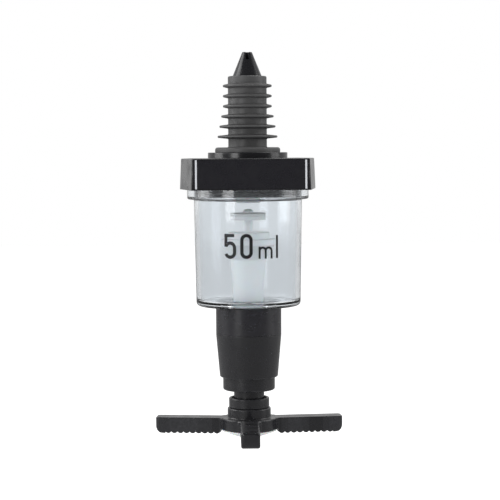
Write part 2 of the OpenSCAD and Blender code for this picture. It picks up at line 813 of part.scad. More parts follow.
module displacer() {
    outline = [
        [sleeve_bore / 2, z_plate], [rim_d / 2, z_plate], [rim_d / 2, z_rim], [sleeve_d / 2, z_funnel],
        [sleeve_low_d / 2, z_shoulder], [spool_d / 2, z_shoulder], [spool_d / 2, z_tail],
        [sleeve_bore / 2, z_tail]
    ];
    color(WHITE) difference() {
        rotate_extrude() polygon(outline);
        for (side = [0, 90]) rotate([0, 0, side])
            translate([-spool_d, -port_w / 2, z_port_top - port_h]) cube([2 * spool_d, port_w, port_h]);
    }
}

module outlet_tube() {
    bore_r = tube_bore / 2;
    color(BLACK) {
        tube(tube_d / 2, bore_r, z_nozzle_top, z_tail);
        tube(stop_d / 2, bore_r, z_stop_end, z_stop_top);
        tube(socket_d / 2, bore_r, z_stop_top, z_tail);
        tube(socket_d / 2, spool_d / 2 + push_fit, z_tail, z_socket_top);
    }
}

module lock_collar() {
    hole_r = tube_d / 2 + push_fit;
    color(BLACK) difference() {
        tube(collar_d / 2, hole_r, z_collar_end, z_collar_top);
        groove(0, cup_d / 2, z_collar_top - cup_depth, z_collar_top + 1);
    }
}

// ---------------------------------------------------------------- lever and spout

// One arm that points along +X: its side view, cut to its outline from above, with its teeth
module arm(root_w, tip_w) {
    z_end = z_hub_top - arm_h;
    z_base = z_end + tooth_depth + 0.2;
    teeth = floor((arm_reach - toe_len - arm_start) / tooth_pitch);
    corner_r = min(toe_r, toe_len);
    tooth_r = (pow(tooth_pitch / 2, 2) + pow(tooth_depth, 2)) / 2 / tooth_depth + 0.04;
    side = concat(
        [[arm_root, z_hub_top], [arm_reach, z_hub_top]],
        arc([arm_reach - corner_r, z_end + corner_r], corner_r, 0, -90),
        [[arm_reach - toe_len, z_end], [arm_reach - toe_len, z_base], [arm_start, z_base]],
        [[arm_start, z_hub_end], [arm_root, z_hub_end]]
    );
    top = concat(
        [[arm_root - 1, -root_w / 2]],
        arc([arm_reach - arm_corner_r, -tip_w / 2 + arm_corner_r], arm_corner_r, -90, 0),
        arc([arm_reach - arm_corner_r, tip_w / 2 - arm_corner_r], arm_corner_r, 0, 90),
        [[arm_root - 1, root_w / 2]]
    );
    intersection() {
        union() {
            translate([0, root_w, 0]) rotate([90, 0, 0]) linear_extrude(2 * root_w) polygon(side);
            for (i = [0:teeth - 1])
                translate([arm_reach - toe_len - tooth_pitch * (i + 0.5), root_w, z_end + tooth_r])
                    rotate([90, 0, 0]) cylinder(r = tooth_r, h = 2 * root_w, $fn = 48);
        }
        translate([0, 0, z_end - 1]) linear_extrude(arm_h + 2) polygon(top);
    }
}

module lever() {
    color(BLACK) difference() {
        union() {
            rod(lever_boss_d / 2, z_hub_top, z_lever_top);
            rod(hub_d / 2, z_hub_end, z_hub_top);
            rotate([0, 0, lever_turn - 90]) arm(front_arm_w, front_arm_w);
            rotate([0, 0, lever_turn + arm_sweep]) arm(arm_root_w, arm_tip_w);
            rotate([0, 0, lever_turn + 180 - arm_sweep]) arm(arm_root_w, arm_tip_w);
        }
        rod(tube_d / 2 + running_fit, z_hub_end - 1, z_lever_top + 1);
    }
}

module spout_nozzle() {
    plug_outer = tube_bore / 2 - push_fit;
    cone_h = (nozzle_d - spout_d) / 2 * tan(nozzle_slope);
    z_cone = z_nozzle_top - nozzle_edge;
    outline = [
        [spout_bore / 2, z_spout_end], [spout_d / 2, z_spout_end], [spout_d / 2, z_cone - cone_h],
        [nozzle_d / 2, z_cone], [nozzle_d / 2, z_nozzle_top], [plug_outer, z_nozzle_top],
        [plug_outer, z_nozzle_top + nozzle_plug_h], [plug_outer - nozzle_wall, z_nozzle_top + nozzle_plug_h],
        [plug_outer - nozzle_wall, z_nozzle_top], [spout_bore / 2, z_cone - 1]
    ];
    color(WHITE) rotate_extrude() polygon(outline);
}

cork_spigot();
bottle_cork();
breather_tube();
head_cover();
name_panel();
panel_stripes();
head_base();
head_screws();
inlet_seat();
spigot_seal();
chamber_seal();
air_valve();
chamber();
outlet_seal();
seat_retainer();
housing_seal();
lower_housing();
label_band();
guide_bush();
guide_seal();
return_spring();
valve_cap();
inlet_washer();
valve_stem();
displacer();
outlet_tube();
lock_collar();
spout_nozzle();
lever();
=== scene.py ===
"""Liquor optic dispenser, dressed for its photograph.

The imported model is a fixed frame: metres, +Z up, the front facing -Y, the origin under the head.
What shows is built here as surfaces worked out with numpy: outlines turned round the axis, the
six-sided head, the printed mark and the three-armed lever. Every other solid keeps its own shape
and gets a finish.
"""
import json
import logging
import math
from collections.abc import Callable, Sequence
from dataclasses import dataclass
from enum import Enum
from functools import cache
from typing import NamedTuple

import bmesh
import bpy
import numpy as np
from mathutils import Matrix, Vector


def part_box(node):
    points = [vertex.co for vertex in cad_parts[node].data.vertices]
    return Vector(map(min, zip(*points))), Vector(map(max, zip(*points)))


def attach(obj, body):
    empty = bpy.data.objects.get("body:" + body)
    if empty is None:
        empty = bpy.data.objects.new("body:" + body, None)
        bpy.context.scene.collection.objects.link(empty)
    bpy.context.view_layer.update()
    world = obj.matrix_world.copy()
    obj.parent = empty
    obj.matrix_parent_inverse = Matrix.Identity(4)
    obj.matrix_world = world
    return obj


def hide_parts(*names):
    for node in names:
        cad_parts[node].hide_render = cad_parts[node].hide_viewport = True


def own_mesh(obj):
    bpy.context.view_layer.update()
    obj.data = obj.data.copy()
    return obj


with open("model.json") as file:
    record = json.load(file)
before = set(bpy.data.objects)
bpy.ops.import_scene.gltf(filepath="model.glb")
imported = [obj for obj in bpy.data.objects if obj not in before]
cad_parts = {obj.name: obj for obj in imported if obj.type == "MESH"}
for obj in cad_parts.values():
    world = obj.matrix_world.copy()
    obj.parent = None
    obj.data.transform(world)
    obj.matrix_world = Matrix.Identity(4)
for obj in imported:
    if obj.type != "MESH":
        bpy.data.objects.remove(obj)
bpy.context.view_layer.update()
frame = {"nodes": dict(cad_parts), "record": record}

MM = 0.001
RIM = "rim"
SEGMENTS = 160
log = logging.getLogger("optic")

Corner = tuple[float, float, float]
Colour = tuple[float, float, float]
DUST: Colour = (0.42, 0.41, 0.39)


class Body(Enum):
    """The bodies that pieces ride on."""

    MEASURE = "measure_body"
    PLUNGER = "plunger"
    LEVER = "lever"


class Slot(Enum):
    """The record's material slots."""

    BLACK = "black_plastic"
    PANEL = "panel_black"
    STRIPE = "stripe_white"
    RUBBER = "black_rubber"
    PALE = "pale_rubber"
    WHITE = "white_plastic"
    CLEAR = "clear_plastic"
    STEEL = "steel"


class Side(Enum):
    """What a ring of points on the head follows."""

    FACETED = "faceted"
    CIRCLE = "circle"


# Node wiring


class Wiring:
    """Adds nodes to one node tree and joins them by socket."""

    def __init__(self, tree: bpy.types.NodeTree) -> None:
        """Starts on an existing tree."""
        self.tree = tree

    def node(self, kind: str, inputs: dict | None = None, **settings: object) -> bpy.types.Node:
        """Adds one node.

        Args:
            kind: Blender's name for the node type.
            inputs: a value or an output socket for each input, by name or number.
            settings: the node's own properties.

        Returns:
            The new node.
        """
        made = self.tree.nodes.new(kind)
        for name, value in settings.items():
            setattr(made, name, value)
        for name, value in (inputs or {}).items():
            if isinstance(value, bpy.types.NodeSocket):
                self.tree.links.new(value, made.inputs[name])
            else:
                made.inputs[name].default_value = value
        return made

    def math(self, operation: str, *values: object) -> bpy.types.NodeSocket:
        """One Math node's output, from up to three values or sockets."""
        return self.node("ShaderNodeMath", dict(enumerate(values)), operation=operation).outputs[0]

    def mix(self, share: object, first: object, second: object) -> bpy.types.NodeSocket:
        """A colour between first and second, by share. The Mix node's colours are inputs 6 and 7."""
        return self.node("ShaderNodeMix", {0: share, 6: first, 7: second}, data_type="RGBA").outputs[2]

    def blend(self, share: object, first: object, second: object) -> bpy.types.NodeSocket:
        """A value between first and second, by share. The Mix node's values are inputs 2 and 3."""
        return self.node("ShaderNodeMix", {0: share, 2: first, 3: second}).outputs[0]

    def group(self, tree: bpy.types.NodeTree, **inputs: object) -> bpy.types.Node:
        """One use of a node group, with its inputs by name."""
        return self.node("ShaderNodeGroup", inputs, node_tree=tree)

    def noise(self, vector: object, scale: object, detail: float, **more: float) -> bpy.types.NodeSocket:
        """One noise texture's height. More inputs go by name."""
        return self.node("ShaderNodeTexNoise",
                         {"Vector": vector, "Scale": scale, "Detail": detail, **more}).outputs[0]

    def end(self, kind: str, surface: bpy.types.Node) -> None:
        """Joins a shader to the tree's output."""
        self.node(kind, {"Surface": surface.outputs[0]})


def rgba(colour: Colour) -> tuple[float, float, float, float]:
    """The colour with full opacity, as a socket wants it."""
    return (*colour, 1.0)


def bare(owner: bpy.types.Material | bpy.types.World) -> Wiring:
    """Gives a material or world an empty tree and returns its wiring."""
    owner.use_nodes = True
    owner.node_tree.nodes.clear()
    return Wiring(owner.node_tree)


def effect(name: str, inputs: dict[str, str], outputs: dict[str, str],
           fill: Callable[[Wiring, dict, dict], None]) -> bpy.types.NodeTree:
    """A shader node group, built once and found by its name afterwards.

    Args:
        name: the group's name.
        inputs: the socket type of each input, by name.
        outputs: the socket type of each output, by name.
        fill: puts the nodes in, given the wiring, the input sockets and the output sockets.

    Returns:
        The group.
    """
    if name in bpy.data.node_groups:
        return bpy.data.node_groups[name]
    tree = bpy.data.node_groups.new(name, "ShaderNodeTree")
    for way, sockets in (("INPUT", inputs), ("OUTPUT", outputs)):
        for socket, kind in sockets.items():
            tree.interface.new_socket(socket, in_out=way, socket_type=f"NodeSocket{kind}")
    start, end = tree.nodes.new("NodeGroupInput"), tree.nodes.new("NodeGroupOutput")
    fill(Wiring(tree), start.outputs, end.inputs)
    return tree


def grain() -> bpy.types.NodeTree:
    """Fine moulded grain: two noises, the finer one a third of the coarser one's size."""
    def fill(w: Wiring, given: dict, made: dict) -> None:
        coarse = w.noise(given["Vector"], given["Scale"], 3.0)
        fine = w.noise(given["Vector"], w.math("MULTIPLY", given["Scale"], 3.0), 2.0)
        w.tree.links.new(w.math("MULTIPLY_ADD", fine, 0.5, coarse), made["Height"])
    return effect("fine_grain", {"Vector": "Vector", "Scale": "Float"}, {"Height": "Float"}, fill)


def handling() -> bpy.types.NodeTree:
    """Where fingers and wiping dull a surface: Even plus Spread times a soft, streaked noise."""
    def fill(w: Wiring, given: dict, made: dict) -> None:
        cloud = w.noise(given["Vector"], given["Scale"], 4.0, Roughness=0.6, Distortion=0.8)
        mask = w.node("ShaderNodeMapRange", {0: cloud, 1: 0.38, 2: 0.68},
                      interpolation_type="SMOOTHSTEP").outputs[0]
        w.tree.links.new(mask, made["Mask"])
        w.tree.links.new(w.math("MULTIPLY_ADD", mask, given["Spread"], given["Even"]), made["Roughness"])
    return effect("handling_marks",
                  {"Vector": "Vector", "Scale": "Float", "Even": "Float", "Spread": "Float"},
                  {"Mask": "Float", "Roughness": "Float"}, fill)


def rim_wear() -> bpy.types.NodeTree:
    """Rubbed edges: the worn colour on convex roundings, broken up by noise."""
    def fill(w: Wiring, given: dict, made: dict) -> None:
        broken = w.math("MULTIPLY", w.noise(given["Vector"], 700.0, 5.0), 1.6)
        worn = w.math("MULTIPLY", w.math("MULTIPLY", given["Rim"], broken), given["Amount"])
        mask = w.node("ShaderNodeClamp", {"Value": worn}).outputs[0]
        w.tree.links.new(mask, made["Mask"])
        w.tree.links.new(w.mix(mask, given["Colour"], given["Worn"]), made["Colour"])
    return effect("rim_wear",
                  {"Vector": "Vector", "Rim": "Float", "Amount": "Float", "Colour": "Color",
                   "Worn": "Color"},
                  {"Mask": "Float", "Colour": "Color"}, fill)


def settled_dust() -> bpy.types.NodeTree:
    """A little dust where a surface faces up: the normal's rise times a patchy noise."""
    def fill(w: Wiring, given: dict, made: dict) -> None:
        rise = w.node("ShaderNodeSeparateXYZ", {"Vector": given["Normal"]}).outputs["Z"]
        upward = w.node("ShaderNodeMapRange", {0: rise, 1: 0.35, 2: 1.0}).outputs[0]
        patch = w.noise(given["Vector"], 420.0, 6.0)
        amount = w.math("MULTIPLY", w.math("MULTIPLY", upward, patch), given["Amount"])
        w.tree.links.new(amount, made["Mask"])
        w.tree.links.new(w.mix(amount, given["Colour"], given["Dust"]), made["Colour"])
    return effect("settled_dust",
                  {"Vector": "Vector", "Normal": "Vector", "Amount": "Float", "Colour": "Color",
                   "Dust": "Color"},
                  {"Mask": "Float", "Colour": "Color"}, fill)


# Finishes


@dataclass(frozen=True)
class Finish:
    """A moulded or rubbed surface: colour, grain, handling marks, worn rims and a little dust.

    Attributes:
        name: the material's name.
        colour: base colour, linear.
        worn: colour of rubbed edges.
        wear: how much the edges are rubbed.
        dust: how much dust lies on what faces up.
        roughness: roughness where it is untouched.
        handled: how much rougher handling makes it.
        grain_size: size of the grain, in millimetres.
        grain_depth: height of the grain, in millimetres.
        coat: clear, glossy skin over it.
        ior: index of refraction.
        soft: share of light scattered below the surface.
        metal: 1 for a metal.
    """

    name: str
    colour: Colour
    worn: Colour
    wear: float = 0.0
    dust: float = 0.0
    roughness: float = 0.3
    handled: float = 0.1
    grain_size: float = 0.3
    grain_depth: float = 0.01
    coat: float = 0.0
    ior: float = 1.5
    soft: float = 0.0
    metal: float = 0.0

    def place(self, w: Wiring) -> bpy.types.NodeSocket:
        """The coordinates that the patterns follow."""
        return w.node("ShaderNodeTexCoord").outputs["Object"]

    def build(self) -> bpy.types.Material:
        """Makes the material.

        Returns:
            The finished material.
        """
        material = bpy.data.materials.new(self.name)
        w = bare(material)
        at = self.place(w)
        wear = w.group(rim_wear(), Vector=at, Amount=self.wear, Colour=rgba(self.colour),
                       Worn=rgba(self.worn),
                       Rim=w.node("ShaderNodeAttribute", attribute_name=RIM).outputs["Fac"])
        dust = w.group(settled_dust(), Vector=at, Amount=self.dust, Colour=wear.outputs["Colour"],
                       Dust=rgba(DUST), Normal=w.node("ShaderNodeTexCoord").outputs["Normal"])
        touched = w.group(handling(), Vector=at, Scale=150.0, Even=self.roughness, Spread=self.handled)
        fine = w.group(grain(), Vector=at, Scale=1.0 / (self.grain_size * MM))
        bump = w.node("ShaderNodeBump", {"Strength": 1.0, "Distance": self.grain_depth * MM,
                                         "Height": fine.outputs["Height"]})
        w.end("ShaderNodeOutputMaterial", w.node("ShaderNodeBsdfPrincipled", {
            "Base Color": dust.outputs["Colour"], "Roughness": touched.outputs["Roughness"],
            "Normal": bump.outputs[0], "Metallic": self.metal, "IOR": self.ior,
            "Coat Weight": self.coat, "Coat Roughness": 0.08, "Subsurface Weight": self.soft,
            "Subsurface Scale": 0.001}))
        return material


@dataclass(frozen=True)
class DrawnSteel(Finish):
    """Drawn stainless steel: its grain is stretched along Z."""

    def place(self, w: Wiring) -> bpy.types.NodeSocket:
        """Coordinates squeezed along Z, so that the grain runs up and down."""
        at = w.node("ShaderNodeTexCoord").outputs["Object"]
        return w.node("ShaderNodeMapping", {"Vector": at, "Scale": (1.0, 1.0, 0.05)}).outputs[0]


@dataclass(frozen=True)
class ClearMoulding:
    """Clear moulded plastic with wiping marks and a faint ripple from the mould.

    Attributes:
        name: the material's name.
        tint: colour that light takes on in the wall.
        roughness: roughness where it is clean.
        handled: how much rougher wiping makes it.
        ior: index of refraction.
    """

    name: str
    tint: Colour
    roughness: float = 0.03
    handled: float = 0.07
    ior: float = 1.49

    def build(self) -> bpy.types.Material:
        """Makes the material.

        Returns:
            The finished material.
        """
        material = bpy.data.materials.new(self.name)
        w = bare(material)
        at = w.node("ShaderNodeTexCoord").outputs["Object"]
        drawn = w.node("ShaderNodeMapping", {"Vector": at, "Scale": (1.0, 1.0, 0.3)}).outputs[0]
        touched = w.group(handling(), Vector=at, Scale=110.0, Even=self.roughness, Spread=self.handled)
        bump = w.node("ShaderNodeBump", {"Strength": 1.0, "Distance": 0.02 * MM,
                                         "Height": w.noise(drawn, 130.0, 2.0)})
        w.end("ShaderNodeOutputMaterial", w.node("ShaderNodeBsdfPrincipled", {
            "Base Color": rgba(self.tint), "Roughness": touched.outputs["Roughness"],
            "Normal": bump.outputs[0], "IOR": self.ior, "Transmission Weight": 1.0}))
        return material


FINISHES: dict[Slot, Finish | ClearMoulding] = {
    Slot.BLACK: Finish("gloss_black_moulding", (0.014, 0.014, 0.0165), (0.055, 0.056, 0.062), wear=0.5,
                       dust=0.05, roughness=0.22, handled=0.14, grain_size=0.35, grain_depth=0.004,
                       coat=0.25, ior=1.5),
    Slot.PANEL: Finish("gloss_black_print", (0.016, 0.0155, 0.02), (0.05, 0.05, 0.055), wear=0.3,
                       dust=0.02, roughness=0.26, handled=0.1, grain_size=0.2, grain_depth=0.003,
                       coat=0.3),
    Slot.STRIPE: Finish("white_print", (0.76, 0.78, 0.82), (0.9, 0.9, 0.9), dust=0.1, roughness=0.42,
                        grain_size=0.15, grain_depth=0.003),
    Slot.RUBBER: Finish("satin_black_rubber", (0.085, 0.085, 0.086), (0.12, 0.12, 0.123), wear=0.45,
                        dust=0.07, roughness=0.42, handled=0.16, grain_size=0.22, grain_depth=0.012,
                        ior=1.52),
    Slot.PALE: Finish("pale_washer_rubber", (0.72, 0.73, 0.72), (0.8, 0.8, 0.79), wear=0.2, dust=0.05,
                      roughness=0.5, handled=0.12, grain_size=0.2, grain_depth=0.008),
    Slot.WHITE: Finish("white_acetal", (0.83, 0.85, 0.85), (0.9, 0.9, 0.9), wear=0.2, dust=0.03,
                       roughness=0.34, handled=0.1, grain_size=0.3, grain_depth=0.004, soft=0.15),
    Slot.CLEAR: ClearMoulding("clear_chamber_plastic", (0.8, 0.83, 0.855)),
    Slot.STEEL: DrawnSteel("drawn_steel", (0.6, 0.61, 0.62), (0.75, 0.75, 0.76), wear=0.4,
                           roughness=0.24, handled=0.12, grain_size=0.12, grain_depth=0.004,
                           metal=1.0),
}
INK = Finish("black_mark_ink", (0.008, 0.008, 0.01), (0.02, 0.02, 0.02), roughness=0.38, handled=0.1,
             grain_size=0.12, grain_depth=0.002)


@cache
def paint(finish: Finish | ClearMoulding) -> bpy.types.Material:
    """The finish's material, made once."""
    return finish.build()


def publish(piece: bpy.types.Object, body: Body, slot: Slot, *nodes: str,
            finish: Finish | None = None) -> None:
    """Dresses a finished piece, puts it on its body and hides the CAD nodes that it stands for.

    Args:
        piece: the finished mesh object.
        body: the body that it rides on.
        slot: the record's material slot that it takes its finish from.
        nodes: the CAD nodes that it replaces.
        finish: a finish other than the slot's own.
    """
    piece.data.materials.clear()
    piece.data.materials.append(paint(finish or FINISHES[slot]))
    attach(piece, body.value)
    if nodes:
        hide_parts(*nodes)
    log.info("%s rides on %s, %d faces", piece.name, body.value, len(piece.data.polygons))


# Outlines


@dataclass(frozen=True)
class Outline:
    """An outline in the half plane of radius and level, in metres.

    Attributes:
        at: (n, 2) radius and level of each point.
        out: (n, 2) outward normal at each point.
        rim: (n,) 1 in the middle of a convex rounding, -1 in a hollow one, 0 on straight runs.
        corner: (n,) number of the corner that each point belongs to.
        closed: True for a ring, False for an outline that starts and ends on the axis.
    """

    at: np.ndarray
    out: np.ndarray
    rim: np.ndarray
    corner: np.ndarray
    closed: bool


def unit(vectors: np.ndarray) -> np.ndarray:
    """The vectors, each made one long."""
    return vectors / np.linalg.norm(vectors, axis=-1, keepdims=True)


def rounded(corners: Sequence[Corner], closed: bool = True, steps: int = 5) -> Outline:
    """Rounds the corners of an outline.

    Each corner's arc has its centre on the line that halves the corner, and its points turn from
    the foot on one side to the foot on the other at a steady rate. Outlines run counterclockwise,
    with radius to the right and level upwards, so outward is the direction of travel turned right.

    Args:
        corners: (radius, level, rounding) of each corner, in millimetres.
        closed: False where the first and the last corner lie on the axis.
        steps: how many steps an arc has.

    Returns:
        The rounded outline.
    """
    given = np.array(corners, float) * MM
    r, z = given[:, 0], given[:, 1]
    if np.sum(r * np.roll(z, -1) - np.roll(r, -1) * z) < 0:
        given = given[::-1]
    at, ball = given[:, :2], np.maximum(given[:, 2], 0.02 * MM)
    back, ahead = np.roll(at, 1, 0) - at, np.roll(at, -1, 0) - at
    reach = np.minimum(np.linalg.norm(back, axis=1), np.linalg.norm(ahead, axis=1)) * 0.49
    back, ahead = unit(back), unit(ahead)
    half = np.arccos(np.clip(np.sum(back * ahead, axis=1), -0.999999, 0.999999)) / 2
    ball = np.minimum(ball, reach * np.tan(half))
    foot = (ball / np.tan(half))[:, None]
    centre = at + unit(back + ahead) * (ball / np.sin(half))[:, None]
    turn = np.sign(-back[:, 0] * ahead[:, 1] + back[:, 1] * ahead[:, 0])[:, None]
    sweep = (math.pi - 2 * half)[:, None, None]
    share = np.linspace(0, 1, steps + 1)[None, :, None]
    spoke = (np.sin((1 - share) * sweep) * (at + back * foot - centre)[:, None]
             + np.sin(share * sweep) * (at + ahead * foot - centre)[:, None]) / np.sin(sweep)
    arcs = centre[:, None] + spoke
    normals = unit(spoke) * turn[:, None]
    rims = np.sin(np.pi * share[..., 0]) * turn
    owner = np.repeat(np.arange(len(at))[:, None], steps + 1, axis=1)
    if closed:
        return Outline(arcs.reshape(-1, 2), normals.reshape(-1, 2), rims.ravel(), owner.ravel(), True)
    run = np.array([[ahead[0, 1], -ahead[0, 0]], [-back[-1, 1], back[-1, 0]]])
    return Outline(
        np.vstack([at[:1], arcs[1:-1].reshape(-1, 2), at[-1:]]),
        np.vstack([run[:1], normals[1:-1].reshape(-1, 2), run[1:]]),
        np.concatenate([[0], rims[1:-1].ravel(), [0]]),
        np.concatenate([[0], owner[1:-1].ravel(), [len(at) - 1]]), False)


def grid_faces(rows: int, columns: int, closed: bool) -> np.ndarray:
    """Faces of a grid whose columns go all the way round.

    Args:
        rows: how many rows of points.
        columns: how many points a row has.
        closed: True where the last row joins the first.

    Returns:
        (n, 4) point numbers, turned so that the faces look outwards.
    """
    number = np.arange(rows * columns).reshape(rows, columns)
    beside, above = np.roll(number, -1, 1), np.roll(number, -1, 0)
    faces = np.stack([number, beside, np.roll(above, -1, 1), above], axis=-1)
    return faces[:rows if closed else rows - 1].reshape(-1, 4)


def capped_grid(rows: int, columns: int) -> list[tuple[int, ...]]:
    """Faces of an open grid, as grid_faces() makes them, with one face over each end."""
    caps = [tuple(range(columns))[::-1], tuple(range((rows - 1) * columns, rows * columns))]
    return [tuple(face) for face in grid_faces(rows, columns, False).tolist()] + caps


def mesh_object(name: str, points: np.ndarray, faces: Sequence, normals: np.ndarray | None = None,
                rim: np.ndarray | None = None) -> bpy.types.Object:
    """Puts points and faces into a new object.

    Args:
        name: the object's name.
        points: (n, 3) points in metres.
        faces: point numbers of each face.
        normals: (n, 3) exact normals at the points, if they are known.
        rim: (n,) how far each point lies on a rounded edge.

    Returns:
        The new object, linked to the scene.
    """
    mesh = bpy.data.meshes.new(name)
    mesh.from_pydata(points.tolist(), [], faces.tolist() if isinstance(faces, np.ndarray) else faces)
    mesh.polygons.foreach_set("use_smooth", np.ones(len(mesh.polygons), bool))
    if rim is not None:
        layer = mesh.attributes.new(RIM, "FLOAT", "POINT")
        layer.data.foreach_set("value", rim.astype(np.float32))
    if normals is not None:
        mesh.normals_split_custom_set_from_vertices(normals.tolist())
    mesh.update()
    piece = bpy.data.objects.new(name, mesh)
    bpy.context.scene.collection.objects.link(piece)
    return piece


def turned(name: str, outline: Outline, segments: int = SEGMENTS) -> bpy.types.Object:
    """Turns an outline once round the axis: the point at angle a is (r cos a, r sin a, z).

    Args:
        name: the piece's name.
        outline: what is turned. An open one gets one point at each end, on the axis.
        segments: how many flats the circle has.

    Returns:
        The closed piece.
    """
    angle = np.linspace(0, 2 * math.pi, segments, endpoint=False)
    ring = np.stack([np.cos(angle), np.sin(angle), np.zeros(segments)], axis=-1)
    up = np.array([0, 0, 1.0])
    at, out = outline.at[:, :, None, None], outline.out[:, :, None, None]
    points = at[:, 0] * ring + at[:, 1] * up
    normals = out[:, 0] * ring + out[:, 1] * up
    rim = np.repeat(outline.rim[:, None], segments, axis=1)
    if outline.closed:
        return mesh_object(name, points.reshape(-1, 3), grid_faces(len(points), segments, True),
                           normals.reshape(-1, 3), rim.ravel())
    middle = points[1:-1]
    count = len(middle) * segments
    first, last = np.arange(segments), np.arange(count - segments, count)
    caps = [np.stack([np.roll(first, -1), first, np.full(segments, count)], axis=-1),
            np.stack([last, np.roll(last, -1), np.full(segments, count + 1)], axis=-1)]
    faces = grid_faces(len(middle), segments, False).tolist() + np.vstack(caps).tolist()
    ends = np.array([points[0, 0], points[-1, 0]])
    end_normals = np.array([[0, 0, outline.out[0, 1]], [0, 0, outline.out[-1, 1]]])
    return mesh_object(name, np.vstack([middle.reshape(-1, 3), ends]), faces,
                       np.vstack([normals[1:-1].reshape(-1, 3), end_normals]),
                       np.concatenate([rim[1:-1].ravel(), [0, 0]]))


def lathe(node: str, name: str, body: Body, slot: Slot, corners: Sequence[Corner],
          closed: bool = True, steps: int = 5, segments: int = SEGMENTS) -> None:
    """Turns an outline into a piece that stands for one CAD node.

    Args:
        node: the CAD node.
        name: the piece's name.
        body: the body that it rides on.
        slot: its material slot.
        corners: the outline's corners, as rounded() wants them.
        closed: False where the outline starts and ends on the axis.
        steps: how many steps an arc has.
        segments: how many flats the circle has.
    """
    publish(turned(name, rounded(corners, closed, steps), segments), body, slot, node)


class Extent(NamedTuple):
    """Where a CAD node lies, in millimetres.

    Attributes:
        radius: its reach along +X from the axis.
        low: its lowest level.
        high: its highest level.
    """

    radius: float
    low: float
    high: float


def extent(node: str) -> Extent:
    """The extent of a CAD node that stands round the axis."""
    low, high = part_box(node)
    return Extent(high.x / MM, low.z / MM, high.z / MM)


# Carving


def bake(piece: bpy.types.Object) -> None:
    """Replaces a piece's mesh by what its modifiers make of it."""
    graph = bpy.context.evaluated_depsgraph_get()
    baked = bpy.data.meshes.new_from_object(piece.evaluated_get(graph))
    plain, piece.data = piece.data, baked
    baked.name = piece.name
    piece.modifiers.clear()
    bpy.data.meshes.remove(plain)


def combine(piece: bpy.types.Object, others: Sequence[bpy.types.Object], operation: str) -> None:
    """Joins closed solids to a piece or cuts them out of it, exactly, and deletes them."""
    for other in others:
        step = piece.modifiers.new(operation.lower(), "BOOLEAN")
        step.object, step.operation, step.solver = other, operation, "EXACT"
    bake(piece)
    for other in others:
        bpy.data.objects.remove(other)


def settle(piece: bpy.types.Object, crisp: float = 35.0) -> None:
    """Gives a carved piece clean shading: close points merged, sharp edges kept, flat faces flat.

    Args:
        piece: the carved piece.
        crisp: the angle in degrees from which an edge stays sharp.
    """
    shape = bmesh.new()
    shape.from_mesh(piece.data)
    bmesh.ops.remove_doubles(shape, verts=shape.verts, dist=0.0005 * MM)
    bmesh.ops.dissolve_degenerate(shape, edges=shape.edges, dist=0.0005 * MM)
    shape.to_mesh(piece.data)
    shape.free()
    piece.data.polygons.foreach_set("use_smooth", np.ones(len(piece.data.polygons), bool))
    piece.data.set_sharp_from_angle(angle=math.radians(crisp))
    weighted = piece.modifiers.new("flat_faces_flat", "WEIGHTED_NORMAL")
    weighted.keep_sharp = True
    bake(piece)


def prism(section: np.ndarray, start: float, end: float, frame_of: Matrix) -> bpy.types.Object:
    """A closed bar: a flat section carried along a straight line.

    Args:
        section: (n, 2) points of the section, counterclockwise, in metres.
        start: where the bar starts along its own Z.
        end: where it ends.
        frame_of: turns and moves the bar into place.

    Returns:
        The bar.
    """
    count = len(section)
    levels = np.repeat([start, end], count)
    points = np.column_stack([np.tile(section, (2, 1)), levels])
    bar = mesh_object("cutter", points, capped_grid(2, count))
    bar.data.transform(frame_of)
    return bar


def box_section(width: float, height: float) -> np.ndarray:
    """A rectangle about the origin, in metres."""
    return np.array([[-1, -1], [1, -1], [1, 1], [-1, 1]]) * (width / 2, height / 2)


def facing(bearing: float, z: float) -> Matrix:
    """Lays a bar level, so that its own Z points to a bearing.

    Args:
        bearing: in degrees from +X.
        z: level of the bar's middle, in metres.

    Returns:
        The matrix for prism().
    """
    return (Matrix.Translation((0, 0, z)) @ Matrix.Rotation(math.radians(90 + bearing), 4, "Z")
            @ Matrix.Rotation(math.radians(90), 4, "X"))


# Bottle end


